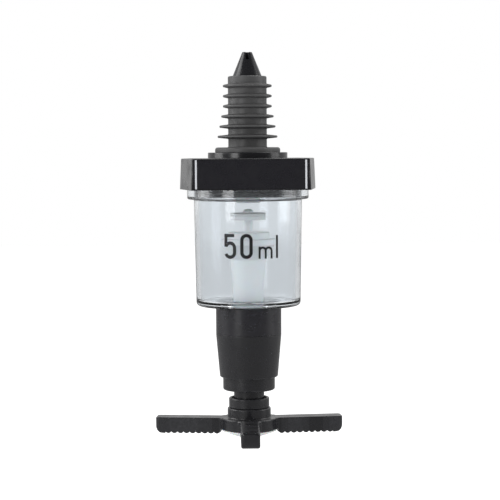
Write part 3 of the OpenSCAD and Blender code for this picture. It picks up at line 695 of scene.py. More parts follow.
@dataclass
class BottleEnd:
    """The spigot with its slotted cone and the finned cork, in millimetres."""

    bore: float = 6.6
    bore_rise: float = 1.0
    shank: float = 11.6
    stem: float = 9.8
    flange: float = 2.0
    cone: float = 11.5
    tip: float = 3.8
    tip_bore: float = 1.6
    cone_height: float = 9.5
    slot_width: float = 1.4
    slot_depth: float = 3.1
    slots: int = 3
    cork: float = 15.3
    cork_flange: float = 2.0
    fins: int = 6
    fin_start: float = 6.2
    fin_pitch: float = 4.0
    fin: float = 19.3
    fin_step: float = 1.46
    wide_fins: int = 3
    fin_rim: float = 0.8
    fin_root: float = 1.7
    fit: float = 0.05

    def spigot(self) -> None:
        """Builds the spigot: a turned body, slotted from its axis out through its tip."""
        wide, low, high = extent("cork_spigot")
        top = high - self.cone_height
        boss = extent("bottle_cork").low
        piece = turned("cork_spigot_body", rounded([
            (self.bore / 2, low, 0.1), (wide, low, 0.2),
            (wide, low + self.flange, 0.2), (self.shank / 2, low + self.flange, 0.2),
            (self.shank / 2, boss, 0.1), (self.stem / 2, boss, 0.1), (self.stem / 2, top, 0.05),
            (self.cone / 2, top, 0.12), (self.tip / 2, high, 0.45),
            (self.tip_bore / 2, high, 0.15), (self.bore / 2, top + self.bore_rise, 0.3)]))
        floor = (high - self.slot_depth + self.slot_width / 2) * MM
        half = self.slot_width / 2 * MM
        bend = np.linspace(-math.pi, 0, 13)
        section = np.vstack([np.column_stack([half * np.cos(bend), half * np.sin(bend)]),
                             [[half, self.slot_depth * MM], [-half, self.slot_depth * MM]]])
        bearings = [-90 + 360 / self.slots * number for number in range(self.slots)]
        combine(piece, [prism(section, 0, self.cone * MM, facing(bearing, floor)) for bearing in bearings],
                "DIFFERENCE")
        settle(piece)
        publish(piece, Body.MEASURE, Slot.BLACK, "cork_spigot")

    def finned_cork(self) -> None:
        """Builds the cork: each fin thins from its root to a round rim."""
        wide, low, high = extent("bottle_cork")
        wall, hole = self.cork / 2, self.stem / 2 + self.fit
        number = np.arange(self.fins)
        reach = self.fin / 2 + self.fin_step / 2 * np.maximum(0, self.wide_fins - number)
        level = low + self.fin_start + self.fin_pitch * number
        fins = [corner for r, z in zip(reach, level) for corner in (
            (wall, z - self.fin_root / 2, 0.3), (r, z - self.fin_rim / 2, 0.39),
            (r, z + self.fin_rim / 2, 0.39), (wall, z + self.fin_root / 2, 0.3))]
        lathe("bottle_cork", "finned_cork", Body.MEASURE, Slot.RUBBER, [
            (hole, low, 0.05), (wide, low, 0.25),
            (wide, low + self.cork_flange, 1.0),
            (wall, low + self.cork_flange, 0.5), *fins,
            (wall, high, 0.55), (hole, high, 0.1)])

    def build(self) -> None:
        """Builds both pieces."""
        self.spigot()
        self.finned_cork()


# Head


@dataclass
class Head:
    """The six-sided head cover, in millimetres."""

    draft: float = 1.0
    taper: float = 4.0
    wall: float = 2.0
    top: float = 2.4
    boss: float = 31.5
    boss_height: float = 2.3
    bore: float = 11.7
    edge: float = 0.45
    corner_steps: int = 4
    flat_steps: int = 24
    panel: float = 44.3
    panel_depth: float = 0.6
    panel_margin: float = 0.5
    slot_width: float = 8.0
    slot_height: float = 1.2
    slot_level: float = 2.4

    def faceted(self, reach: np.ndarray) -> tuple[np.ndarray, np.ndarray]:
        """The head's outline at several sizes.

        The front and the back are square to Y. Each side is two faces that meet in its middle and
        draw in towards the front and the back. Where two faces meet, the corner of an outline drawn
        in by the edge radius is the centre of a fan of points, and the flats between the fans are
        shared out evenly.

        Args:
            reach: (n,) distance of the front from the axis, in metres.

        Returns:
            (n, m, 2) points and (m, 2) their outward directions.
        """
        edge = self.edge * MM
        wide = extent("head_cover").radius * MM
        turn = math.atan2(self.taper * MM, wide)
        angle = np.array([-turn, turn, math.pi / 2, math.pi - turn, math.pi + turn, 1.5 * math.pi])
        ahead = np.append(angle[1:], angle[0] + 2 * math.pi)
        normal = np.column_stack([np.cos(angle), np.sin(angle)])
        across = np.array([True, True, False, True, True, False])
        distance = np.where(across, wide * math.cos(turn), wide) + (reach - wide)[:, None] - edge
        n0, n1 = normal, np.roll(normal, -1, 0)
        d0, d1 = distance[..., None], np.roll(distance, -1, 1)[..., None]
        cross = (n0[:, 0] * n1[:, 1] - n0[:, 1] * n1[:, 0])[:, None]
        flip = np.array([1.0, -1.0])
        centre = (d0 * n1[:, ::-1] * flip - d1 * n0[:, ::-1] * flip) / cross
        fan_angle = angle[:, None] + (ahead - angle)[:, None] * np.linspace(0, 1, self.corner_steps + 1)
        fan_out = np.stack([np.cos(fan_angle), np.sin(fan_angle)], axis=-1)
        fan = centre[:, :, None] + edge * fan_out
        start, end = fan[:, :, -1:], np.roll(fan[:, :, :1], -1, 1)
        share = np.linspace(0, 1, self.flat_steps + 1)[1:-1, None]
        flats = start + (end - start) * share
        flat_out = np.repeat(n1[:, None], len(share), axis=1)
        points = np.concatenate([fan, flats], axis=2)
        out = np.concatenate([fan_out, flat_out], axis=1)
        return points.reshape(len(reach), -1, 2), out.reshape(-1, 2)

    def cover(self) -> None:
        """Builds the cover: a shell whose rings are six-sided outside and circles round the boss."""
        wide, low, high = extent("head_cover")
        shoulder = high - self.boss_height
        ceiling = shoulder - self.top
        lean = self.draft / 2 / shoulder
        inner = wide - self.wall
        plan = [
            (inner, low, 0.15, Side.FACETED), (wide, low, 0.2, Side.FACETED),
            (wide - lean * shoulder, shoulder, 0.4, Side.FACETED),
            (self.boss / 2, shoulder, 0.25, Side.CIRCLE), (self.boss / 2, high, 0.3, Side.CIRCLE),
            (self.bore / 2, high, 0.15, Side.CIRCLE), (self.bore / 2, ceiling, 0.15, Side.CIRCLE),
            (inner - lean * ceiling, ceiling, 0.3, Side.FACETED)]
        outline = rounded([corner[:3] for corner in plan])
        flat, flat_out = self.faceted(outline.at[:, 0])
        bearing = unit(self.faceted(np.array([wide * MM]))[0][0])
        circle = np.array([corner[3] is Side.CIRCLE for corner in plan])[outline.corner][:, None, None]
        plane = np.where(circle, outline.at[:, :1, None] * bearing, flat)
        out = np.where(circle, bearing[None], flat_out[None])
        shape = plane.shape[:2]
        points = np.dstack([plane, np.broadcast_to(outline.at[:, 1:], shape)])
        normals = np.dstack([out * outline.out[:, :1, None], np.broadcast_to(outline.out[:, 1:], shape)])
        piece = mesh_object("head_shell", points.reshape(-1, 3), grid_faces(*shape, True),
                            normals.reshape(-1, 3), np.repeat(outline.rim, shape[1]))
        self.carve(piece, shoulder, lean, wide)
        settle(piece)
        publish(piece, Body.MEASURE, Slot.BLACK, "head_cover")

    def carve(self, piece: bpy.types.Object, shoulder: float, lean: float, reach: float) -> None:
        """Cuts the panel's pocket into the leaning front and the air slot into the back.

        Args:
            piece: the cover.
            shoulder: level of the head's flat top.
            lean: how far the sides come in for each millimetre of height.
            reach: half the head's width at its underside.
        """
        low, high = self.panel_margin, shoulder - self.panel_margin
        front = np.array([[reach + 1, low], [reach - lean * low - self.panel_depth, low],
                          [reach - lean * high - self.panel_depth, high], [reach + 1, high]]) * (-MM, MM)
        half = self.panel / 2 * MM
        side_on = Matrix(((0, 0, 1, 0), (1, 0, 0, 0), (0, 1, 0, 0), (0, 0, 0, 1)))
        pocket = prism(front, -half, half, side_on)
        middle = (self.slot_level + self.slot_height / 2) * MM
        slot = prism(box_section(self.slot_width * MM, self.slot_height * MM),
                     (reach - 2 * self.wall) * MM, (reach + 1) * MM, facing(90, middle))
        combine(piece, [pocket, slot], "DIFFERENCE")

    def build(self) -> None:
        """Builds the cover."""
        self.cover()


# Chamber


@dataclass
class Chamber:
    """The clear measuring chamber and its printed mark, in millimetres."""

    flange: float = 4.0
    barrel: float = 42.9
    draft: float = 1.5
    wall: float = 1.7
    socket: float = 42.9
    socket_floor: float = -3.0
    floor: float = 2.0
    neck: float = 21.0
    neck_bore: float = 17.0
    neck_height: float = 7.7
    lip: float = 1.5
    lip_bore: float = 14.6
    mark_foot: float = -26.5
    mark_height: float = 9.65
    bold: float = 1.3
    thin: float = 0.84
    digit_width: float = 4.85
    five_at: float = -10.54
    nought_at: float = -4.13
    m_at: float = 2.95
    l_at: float = 10.65
    l_height: float = 9.0
    ink_thickness: float = 0.03

    @property
    def bottom(self) -> float:
        """Level of the chamber's underside, round the neck."""
        return extent("chamber").low + self.neck_height

    def shell(self) -> None:
        """Builds the chamber as one wall with an inside and an outside."""
        wide, low, high = extent("chamber")
        end = self.bottom
        outer, outer_end = self.barrel / 2, (self.barrel - self.draft) / 2
        inner_floor = end + self.floor
        lathe("chamber", "measuring_chamber", Body.MEASURE, Slot.CLEAR, [
            (self.lip_bore / 2, inner_floor, 0.25), (outer_end - self.wall, inner_floor, 1.2),
            (outer - self.wall, self.socket_floor, 0.2), (self.socket / 2, self.socket_floor, 0.15),
            (self.socket / 2, high, 0.2), (wide, high, 0.25),
            (wide, -self.flange, 0.8), (outer, -self.flange, 0.5), (outer_end, end, 1.6),
            (self.neck / 2, end, 0.2), (self.neck / 2, low, 0.3), (self.neck_bore / 2, low, 0.3),
            (self.neck_bore / 2, inner_floor - self.lip, 0.1),
            (self.lip_bore / 2, inner_floor - self.lip, 0.15)], steps=7, segments=224)

    def strokes(self) -> list[tuple[np.ndarray, float, bool]]:
        """The mark's strokes: a plain 50 ml in round-cornered letterforms.

        Returns:
            For each stroke its middle line (n, 2) in millimetres along and up the wall, its width,
            and whether it is closed.
        """
        def arc(centre: Sequence[float], radii: Sequence[float], first: float, last: float) -> np.ndarray:
            """Points on an ellipse's arc, its ends in degrees."""
            a = np.radians(np.linspace(first, last, 15))
            return np.column_stack([centre[0] + radii[0] * np.cos(a), centre[1] + radii[1] * np.sin(a)])

        high, bold, thin = self.mark_height, self.bold, self.thin
        left, right, low, top = bold / 2, self.digit_width - bold / 2, bold / 2, high - bold / 2
        bowl = (right - left) / 2
        five = np.vstack([
            [[right - 0.1, top], [left + 0.05, top], [left, 5.3]],
            arc((left + bowl, 4.1), (bowl, 2.0), 145, 0),
            arc((left + bowl, low + bowl), (bowl, bowl), 0, -165)])
        nought = np.vstack([arc((left + bowl, top - bowl), (bowl, bowl), 180, 0),
                            arc((left + bowl, low + bowl), (bowl, bowl), 0, -180)])
        step, tall, hook = 2.45, 4.7, 1.22
        stem = [np.array([[0, 0], [0, tall]])]
        for start in (0, step):
            bend = arc((start + hook, tall - hook - thin / 2), (hook, hook), 180, 0)
            stem.append(np.vstack([bend, [[start + 2 * hook, 0]]]))
        return ([(five + (self.five_at, 0), bold, False), (nought + (self.nought_at, 0), bold, True)]
                + [(path + (self.m_at + thin / 2, 0), thin, False) for path in stem]
                + [(np.array([[self.l_at, 0.1], [self.l_at, self.l_height]]), thin + 0.08, False)])

    def ribbon(self, path: np.ndarray, width: float, ring: bool) -> tuple[np.ndarray, np.ndarray]:
        """One stroke as a thin closed bar bent round the barrel.

        The section is a flat rectangle. At each point of the path it stands across the mean of the
        two directions beside it, widened at bends, and a point s along the wall lies at the angle
        s / r from the front.

        Args:
            path: (n, 2) middle line, in millimetres.
            width: the stroke's width.
            ring: True where the stroke closes on itself.

        Returns:
            (n, 3) points in metres and (m, 4) faces.
        """
        keep = np.linalg.norm(np.diff(path, axis=0), axis=1) > 1e-6
        path = np.vstack([path[:1], path[1:][keep]])
        if ring and np.linalg.norm(path[0] - path[-1]) < 1e-6:
            path = path[:-1]
        back, ahead = path - np.roll(path, 1, 0), np.roll(path, -1, 0) - path
        if not ring:
            back[0], ahead[-1] = ahead[0], back[-1]
        back, ahead = unit(back), unit(ahead)
        mean = unit(back + ahead)
        widen = 1 / np.maximum(np.sum(mean * ahead, axis=1), 0.7)
        across = np.column_stack([-mean[:, 1], mean[:, 0]]) * (width / 2 * widen)[:, None]
        lift = self.ink_thickness
        corners = [(-1, 0.005), (1, 0.005), (1, lift), (-1, lift)]
        flat = np.stack([path + side * across for side, _ in corners], axis=1)
        height = np.broadcast_to([h for _, h in corners], flat.shape[:2])
        level = self.mark_foot + flat[..., 1]
        fall = (-self.flange - level) / (-self.flange - self.bottom)
        r = self.barrel / 2 - self.draft / 2 * fall
        angle = flat[..., 0] / r
        points = np.stack([(r + height) * np.sin(angle), -(r + height) * np.cos(angle), level], axis=-1)
        faces = grid_faces(len(path), 4, ring)
        if not ring:
            last = 4 * (len(path) - 1)
            faces = np.vstack([faces, [3, 2, 1, 0], np.arange(last, last + 4)])
        return points.reshape(-1, 3) * MM, faces

    def mark(self) -> None:
        """Builds the capacity mark on the front of the chamber."""
        points, faces, count = [], [], 0
        for path, width, ring in self.strokes():
            stroke, sides = self.ribbon(path, width, ring)
            points.append(stroke)
            faces.append(sides + count)
            count += len(stroke)
        piece = mesh_object("capacity_mark", np.vstack(points), np.vstack(faces))
        shape = bmesh.new()
        shape.from_mesh(piece.data)
        bmesh.ops.recalc_face_normals(shape, faces=shape.faces)
        shape.to_mesh(piece.data)
        shape.free()
        piece.data.set_sharp_from_angle(angle=math.radians(40))
        publish(piece, Body.MEASURE, Slot.PANEL, finish=INK)

    def build(self) -> None:
        """Builds the chamber and its mark."""
        self.shell()
        self.mark()


# Valve


@dataclass
class Valve:
    """What shows inside the chamber: inlet tube, valve disc and displacer, in millimetres."""

    inlet_bore: float = 7.8
    inlet_flange: float = 12.0
    inlet_flange_height: float = 1.1
    inlet: float = 9.6
    cap_pin: float = 2.1
    cap_roof: float = 0.7
    cap_shoulder: tuple[float, float] = (0.94, 0.9)
    cap_crown: tuple[float, float] = (0.62, 0.12)
    rod: float = 3.5
    rod_height: float = 4.9
    disc: float = 14.3
    disc_height: float = 1.7
    plate_height: float = 2.6
    plug: float = 8.5
    pin: float = 2.0
    rim_height: float = 2.2
    funnel: float = 6.0
    sleeve: float = 14.0
    sleeve_low: float = 11.8
    sleeve_height: float = 17.75
    spool: float = 11.0
    bore: float = 8.6
    port_width: float = 4.0
    port_height: float = 3.0
    port_drop: float = 1.45

    def inlet_tube(self) -> None:
        """Builds the inlet tube, whose lower rim is the valve's seat."""
        body = extent("inlet_seat")
        under = body.high - self.inlet_flange_height
        lathe("inlet_seat", "inlet_tube", Body.MEASURE, Slot.WHITE, [
            (self.inlet_bore / 2, body.low, 0.12), (self.inlet / 2, body.low, 0.2),
            (self.inlet / 2, under, 0.1), (self.inlet_flange / 2, under, 0.1),
            (self.inlet_flange / 2, body.high, 0.1), (self.inlet_bore / 2, body.high, 0.1)])

    def cap(self) -> None:
        """Builds the dome that holds the washer, with the hole for its pin."""
        wide, low, high = extent("valve_cap")
        roof = high - self.cap_roof
        shoulder, shoulder_rise = self.cap_shoulder
        crown, crown_drop = self.cap_crown
        lathe("valve_cap", "valve_dome", Body.PLUNGER, Slot.WHITE, [
            (0, roof, 0), (self.cap_pin / 2, roof, 0.1), (self.cap_pin / 2, low, 0.08),
            (wide, low, 0.12), (wide * shoulder, low + shoulder_rise, 0.5),
            (wide * crown, high - crown_drop, 0.5), (0, high, 0)],
            closed=False, segments=96)

    def washer(self) -> None:
        """Builds the rubber washer."""
        wide, low, high = extent("inlet_washer")
        lathe("inlet_washer", "soft_washer", Body.PLUNGER, Slot.PALE, [
            (self.cap_pin / 2, low, 0.1), (wide, low, 0.25),
            (wide, high, 0.25), (self.cap_pin / 2, high, 0.1)])

    def stem(self) -> None:
        """Builds the disc, rod and plate in one."""
        wide, low, high = extent("valve_stem")
        plate = extent("displacer").high
        rod = plate + self.plate_height
        disc = rod + self.rod_height
        washer = disc + self.disc_height
        lathe("valve_stem", "valve_disc_and_rod", Body.PLUNGER, Slot.WHITE, [
            (0, low, 0), (self.plug / 2, low, 0.3), (self.plug / 2, plate, 0.1),
            (wide, plate, 0.25), (wide, rod, 0.35), (self.rod / 2, rod, 0.5),
            (self.rod / 2, disc, 0.4), (self.disc / 2, disc, 0.3), (self.disc / 2, washer, 0.3),
            (self.pin / 2, washer, 0.08), (self.pin / 2, high, 0.25), (0, high, 0)],
            closed=False)

    def displacer(self) -> None:
        """Builds the displacer: rim, funnel, sleeve and the spool with its crossed ports."""
        wide, low, high = extent("displacer")
        rim = high - self.rim_height
        funnel = rim - self.funnel
        shoulder = funnel - self.sleeve_height
        piece = turned("displacer_body", rounded([
            (self.bore / 2, high, 0.1), (wide, high, 0.4), (wide, rim, 0.3),
            (self.sleeve / 2, funnel, 0.8), (self.sleeve_low / 2, shoulder, 0.25),
            (self.spool / 2, shoulder, 0.1), (self.spool / 2, low, 0.25),
            (self.bore / 2, low, 0.2)]))
        seal = extent("outlet_seal")
        middle = (seal.high - self.port_drop - self.port_height / 2) * MM
        section = box_section(self.port_width * MM, self.port_height * MM)
        reach = self.spool * MM
        combine(piece, [prism(section, -reach, reach, facing(bearing, middle)) for bearing in (0, 90)],
                "DIFFERENCE")
        settle(piece)
        publish(piece, Body.PLUNGER, Slot.WHITE, "displacer")

    def build(self) -> None:
        """Builds the inlet tube and the valve."""
        self.inlet_tube()
        self.cap()
        self.washer()
        self.stem()
        self.displacer()


# Housing


@dataclass
class Housing:
    """The dark housing and the ring that closes it, in millimetres."""

    neck_hole: float = 21.1
    gasket: float = 23.25
    gasket_thickness: float = 1.1
    band_height: float = 11.7
    tip: float = 23.1
    cavity: float = 18.8
    cavity_top: float = -55.5
    label_margin: float = 0.5
    label_thickness: float = 0.25
    label_gap: float = 0.01
    ring_height: float = 5.2
    bush_bore: float = 12.26
    cup: float = 16.8
    cup_depth: float = 1.6
    fit: float = 0.05

    def barrel(self) -> None:
        """Builds the housing with the recess for its bare label band."""
        wide, low, high = extent("lower_housing")
        band_end = high - self.band_height
        label = wide - self.label_thickness
        rebate = high - self.gasket_thickness
        lathe("lower_housing", "tapered_housing", Body.MEASURE, Slot.BLACK, [
            (self.gasket / 2, high, 0.05), (wide, high, 0.3),
            (wide, high - self.label_margin, 0.05),
            (label, high - self.label_margin, 0.02), (label, band_end + self.label_margin, 0.02),
            (wide, band_end + self.label_margin, 0.05), (wide, band_end, 1.2),
            (self.tip / 2, low, 0.55), (self.cavity / 2, low, 0.2),
            (self.cavity / 2, self.cavity_top, 0.2), (self.neck_hole / 2, self.cavity_top, 0.1),
            (self.neck_hole / 2, rebate, 0.05), (self.gasket / 2, rebate, 0.05)])

    def band(self) -> None:
        """Builds the bare label band that lies in the housing."""
        wide, low, high = extent("label_band")
        inner = wide - self.label_thickness + self.label_gap
        lathe("label_band", "bare_label_band", Body.MEASURE, Slot.PANEL, [
            (inner, low, 0.03), (wide, low, 0.08),
            (wide, high, 0.08), (inner, high, 0.03)], steps=3)

    def ring(self) -> None:
        """Builds the ring and its bush, with the cup that the collar rises into."""
        wide, low, high = extent("guide_bush")
        seat = low + self.ring_height
        bush = self.cavity / 2 - self.fit
        hole = self.bush_bore / 2
        lathe("guide_bush", "guide_ring", Body.MEASURE, Slot.BLACK, [
            (hole, high, 0.2), (bush, high, 0.25), (bush, seat, 0.05),
            (wide, seat, 0.15), (wide, low, 0.7), (self.cup / 2, low, 0.3),
            (self.cup / 2, low + self.cup_depth, 0.1), (hole, low + self.cup_depth, 0.15)])

    def build(self) -> None:
        """Builds the housing, its band and its ring."""
        self.barrel()
        self.band()
        self.ring()


# Plunger end


@dataclass
class PlungerEnd:
    """The outlet tube, its collar, the spout and the return spring, in millimetres."""

    tube: float = 12.1
    tube_bore: float = 9.6
    socket: float = 13.8
    socket_bore: float = 11.1
    socket_depth: float = 6.0
    stop_low: float = -69.9
    stop_height: float = 1.6
    collar_bore: float = 12.2
    cup: float = 14.2
    cup_depth: float = 1.2
    spout: float = 6.8
    spout_bore: float = 4.8
    cone_edge: float = 0.6
    cone_slope: float = 20.0
    bore_drop: float = 1.0
    plug: float = 9.5
    plug_wall: float = 1.2
    plug_height: float = 7.0
    coil: float = 15.8
    wire: float = 0.9
    turns: int = 6
    travel: float = 4.0
    spring_top: float = -55.5

    def outlet_tube(self) -> None:
        """Builds the tube with its socket and stop flange."""
        wide, low, high = extent("outlet_tube")
        stop_top = self.stop_low + self.stop_height
        shelf = high - self.socket_depth
        lathe("outlet_tube", "stop_tube", Body.PLUNGER, Slot.BLACK, [
            (self.tube_bore / 2, low, 0.15), (self.tube / 2, low, 0.15),
            (self.tube / 2, self.stop_low, 0.2), (wide, self.stop_low, 0.2),
            (wide, stop_top, 0.2), (self.socket / 2, stop_top, 0.2),
            (self.socket / 2, high, 0.3), (self.socket_bore / 2, high, 0.2),
            (self.socket_bore / 2, shelf, 0.1), (self.tube_bore / 2, shelf, 0.15)])

    def collar(self) -> None:
        """Builds the collar with its cupped top."""
        wide, low, high = extent("lock_collar")
        floor = high - self.cup_depth
        lathe("lock_collar", "cupped_collar", Body.PLUNGER, Slot.BLACK, [
            (self.collar_bore / 2, low, 0.1), (wide, low, 0.3),
            (wide, high, 0.42), (self.cup / 2, high, 0.3),
            (self.cup / 2, floor, 0.3), (self.collar_bore / 2, floor, 0.1)])

    def nozzle(self) -> None:
        """Builds the shallow cone, its spout and its plug."""
        body = extent("spout_nozzle")
        top = extent("outlet_tube").low
        edge = top - self.cone_edge
        fall = (body.radius - self.spout / 2) * math.tan(math.radians(self.cone_slope))
        inner = self.plug / 2 - self.plug_wall
        lathe("spout_nozzle", "cone_spout", Body.PLUNGER, Slot.WHITE, [
            (self.spout_bore / 2, body.low, 0.2), (self.spout / 2, body.low, 0.3),
            (self.spout / 2, edge - fall, 0.6), (body.radius, edge, 0.2), (body.radius, top, 0.2),
            (self.plug / 2, top, 0.1), (self.plug / 2, top + self.plug_height, 0.2),
            (inner, top + self.plug_height, 0.2), (inner, top, 0.3),
            (self.spout_bore / 2, edge - self.bore_drop, 0.3)])

    def spring(self) -> None:
        """Builds the coil: a circle carried along a helix, with a flat cap at each end.

        The wire's middle at turn t is at angle 2 pi t and rises evenly. The section stands in the plane
        through the axis.
        """
        low = self.stop_low + self.stop_height + self.wire / 2
        high = self.spring_top - self.wire / 2
        steps, sides = 48 * self.turns, 16
        along = np.linspace(0, 1, steps + 1)[:, None]
        around = np.linspace(0, 2 * math.pi, sides, endpoint=False)[None]
        angle = 2 * math.pi * self.turns * along
        r = self.coil / 2 + self.wire / 2 * np.cos(around)
        z = low + (high - low) * along - self.wire / 2 * np.sin(around)
        points = np.stack([r * np.cos(angle), r * np.sin(angle), z + 0 * r], axis=-1)
        piece = mesh_object("coil_spring", points.reshape(-1, 3) * MM, capped_grid(steps + 1, sides))
        piece.data.set_sharp_from_angle(angle=math.radians(50))
        publish(piece, Body.MEASURE, Slot.STEEL, "return_spring")
        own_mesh(piece)

    def build(self) -> None:
        """Builds the four pieces."""
        self.outlet_tube()
        self.collar()
        self.nozzle()
        self.spring()


# Lever


@dataclass(frozen=True)
class Arm:
    """One arm of the lever, in millimetres.

    Attributes:
        bearing: direction of the arm, in degrees from +X.
        root_width: width where it leaves the hub.
        tip_width: width at its tip.
        edge: radius along its upper edges.
    """

    bearing: float
    root_width: float
    tip_width: float
    edge: float


@dataclass
class Lever:
    """The hub and its three toothed arms, in millimetres."""

    hub: float = 22.4
    hub_height: float = 4.6
    boss: float = 17.3
    boss_height: float = 3.95
    bore: float = 12.26
    reach: float = 37.4
    height: float = 6.4
    inside: float = 9.6
    start: float = 11.2
    root_fillet: float = 1.1
    edge: float = 0.45
    low_edge: float = 0.4
    toe_edge: float = 1.3
    corner: float = 1.4
    toe: float = 2.6
    toe_length: float = 3.9
    pitch: float = 2.45
    depth: float = 0.7
    arms: tuple[Arm, ...] = (Arm(-92, 7.3, 7.3, 0.8), Arm(4.5, 7.0, 6.8, 0.4),
                             Arm(171.5, 7.0, 6.8, 0.4))

    def arm(self, plan: Arm) -> bpy.types.Object:
        """Builds one arm along +X and turns it to its bearing.

        Across each station x the section is a rectangle with round edges. Its half width narrows
        steadily from root to tip, swells by a quarter circle beside the hub and draws in by one at
        the tip. Its floor lies level with the hub's as far as the cone under it reaches, then
        follows the teeth, each the arc of a circle, and rises by a quarter circle at the toe. Its
        roof falls by a small one at the tip.

        Args:
            plan: the arm's bearing and widths.

        Returns:
            The closed arm.
        """
        top = extent("lever").low + self.height
        x = self.stations()
        share = (x - self.inside) / (self.reach - self.inside)
        half = (plan.root_width + (plan.tip_width - plan.root_width) * share) / 2
        half = half + self.quarter(self.root_fillet, self.hub / 2 - 0.5 + self.root_fillet - x)
        half = half - self.quarter(self.corner, x - self.reach + self.corner)
        roof = top - self.quarter(plan.edge, x - self.reach + plan.edge)
        floor = self.floor(x, top - self.height)
        points = self.sections(x, half, floor, roof, plan.edge)
        piece = mesh_object("arm", points.reshape(-1, 3) * MM, capped_grid(*points.shape[:2]))
        piece.data.transform(Matrix.Rotation(math.radians(plan.bearing), 4, "Z"))
        return piece

    def stations(self) -> np.ndarray:
        """Where the sections stand: closer at the tip, even along the teeth."""
        root = np.linspace(self.inside, self.start - 0.02, 6)
        teeth = np.linspace(self.start, self.reach - self.toe, 121)
        bend = np.sin(np.linspace(0, math.pi / 2, 15))[1:]
        return np.concatenate([root, teeth, self.reach - self.toe + self.toe * bend])

    @staticmethod
    def quarter(radius: float, depth: np.ndarray) -> np.ndarray:
        """How far a quarter circle has turned away, depth past the place where it starts."""
        inside = np.clip(depth, 0, radius)
        return radius - np.sqrt(radius ** 2 - inside ** 2)

    def floor(self, x: np.ndarray, low: float) -> np.ndarray:
        """Level of the arm's underside: round teeth from the toe to the hub."""
        ball = ((self.pitch / 2) ** 2 + self.depth ** 2) / 2 / self.depth
        start = self.reach - self.toe_length
        phase = np.mod(start - x, self.pitch) - self.pitch / 2
        tooth = low + ball - np.sqrt(ball ** 2 - phase ** 2)
        teeth = np.floor((start - self.start) / self.pitch)
        plain = low + self.depth
        tooth = np.where(x > start, low, np.where(x < start - teeth * self.pitch, plain, tooth))
        tooth = np.where(x < self.start, low + self.height - self.hub_height, tooth)
        return tooth + self.quarter(self.toe, x - self.reach + self.toe)

    def sections(self, x: np.ndarray, half: np.ndarray, floor: np.ndarray, roof: np.ndarray,
                 upper: float) -> np.ndarray:
        """Rectangles with round edges, one at each station.

        Args:
            x: (n,) the stations.
            half: (n,) half widths.
            floor: (n,) lowest levels.
            roof: (n,) highest levels.
            upper: radius of the upper edges.

        Returns:
            (n, m, 3) points, counterclockwise as seen from the tip.
        """
        steps = 4
        turn = np.linspace(0, math.pi / 2, steps + 1)
        corner = np.concatenate([turn + quarter * math.pi / 2 for quarter in (3, 0, 1, 2)])
        side = np.repeat([1, 1, -1, -1], steps + 1)
        rise = np.repeat([-1, 1, 1, -1], steps + 1)
        toe = np.clip((x - self.reach + self.toe_length) / self.toe_length, 0, 1)
        under = self.low_edge + (self.toe_edge - self.low_edge) * toe
        most = 0.45 * np.minimum(half, (roof - floor) / 2)
        edge = np.minimum(np.where(rise > 0, upper, under[:, None]), most[:, None])
        middle, tall = ((roof + floor) / 2)[:, None], ((roof - floor) / 2)[:, None]
        y = side * (half[:, None] - edge) + edge * np.cos(corner)
        z = middle + rise * (tall - edge) + edge * np.sin(corner)
        return np.stack([np.broadcast_to(x[:, None], y.shape), y, z], axis=-1)

    def build(self) -> None:
        """Builds the hub, joins the arms to it and publishes the lever."""
        body = extent("lever")
        top = body.low + self.height
        hub = turned("swivel_lever", rounded([
            (self.bore / 2, top - self.hub_height, 0.2), (self.hub / 2, top - self.hub_height, 0.3),
            (self.hub / 2, top, self.edge), (self.boss / 2, top, 0.45),
            (self.boss / 2, body.high, 0.4), (self.bore / 2, body.high, 0.25)]), 144)
        combine(hub, [self.arm(plan) for plan in self.arms], "UNION")
        settle(hub, 38)
        publish(hub, Body.LEVER, Slot.BLACK, "lever")


# Kept solids


def dress_kept_solids() -> None:
    """Gives every CAD solid its slot's finish, shown or not."""
    for part in frame["record"]["subparts"]:
        solid = frame["nodes"][part["node"]]
        solid.data.materials.clear()
        solid.data.materials.append(paint(FINISHES[Slot(part["material_slot"])]))
        log.info("%s keeps its shape, %s", part["node"], part["material_slot"])


# Studio


@dataclass(frozen=True)
class Softbox:
    """A soft lamp that looks at the object.

    Attributes:
        name: the lamp's name.
        bearing: degrees to the right of the camera's line, seen from the object.
        rise: degrees above the object's middle.
        distance: from the object's middle, in metres.
        width: of the lamp's face, in metres.
        height: of the lamp's face, in metres.
        radiance: how bright its face is, where 1 is white.
    """

    name: str
    bearing: float
    rise: float
    distance: float
    width: float
    height: float
    radiance: float


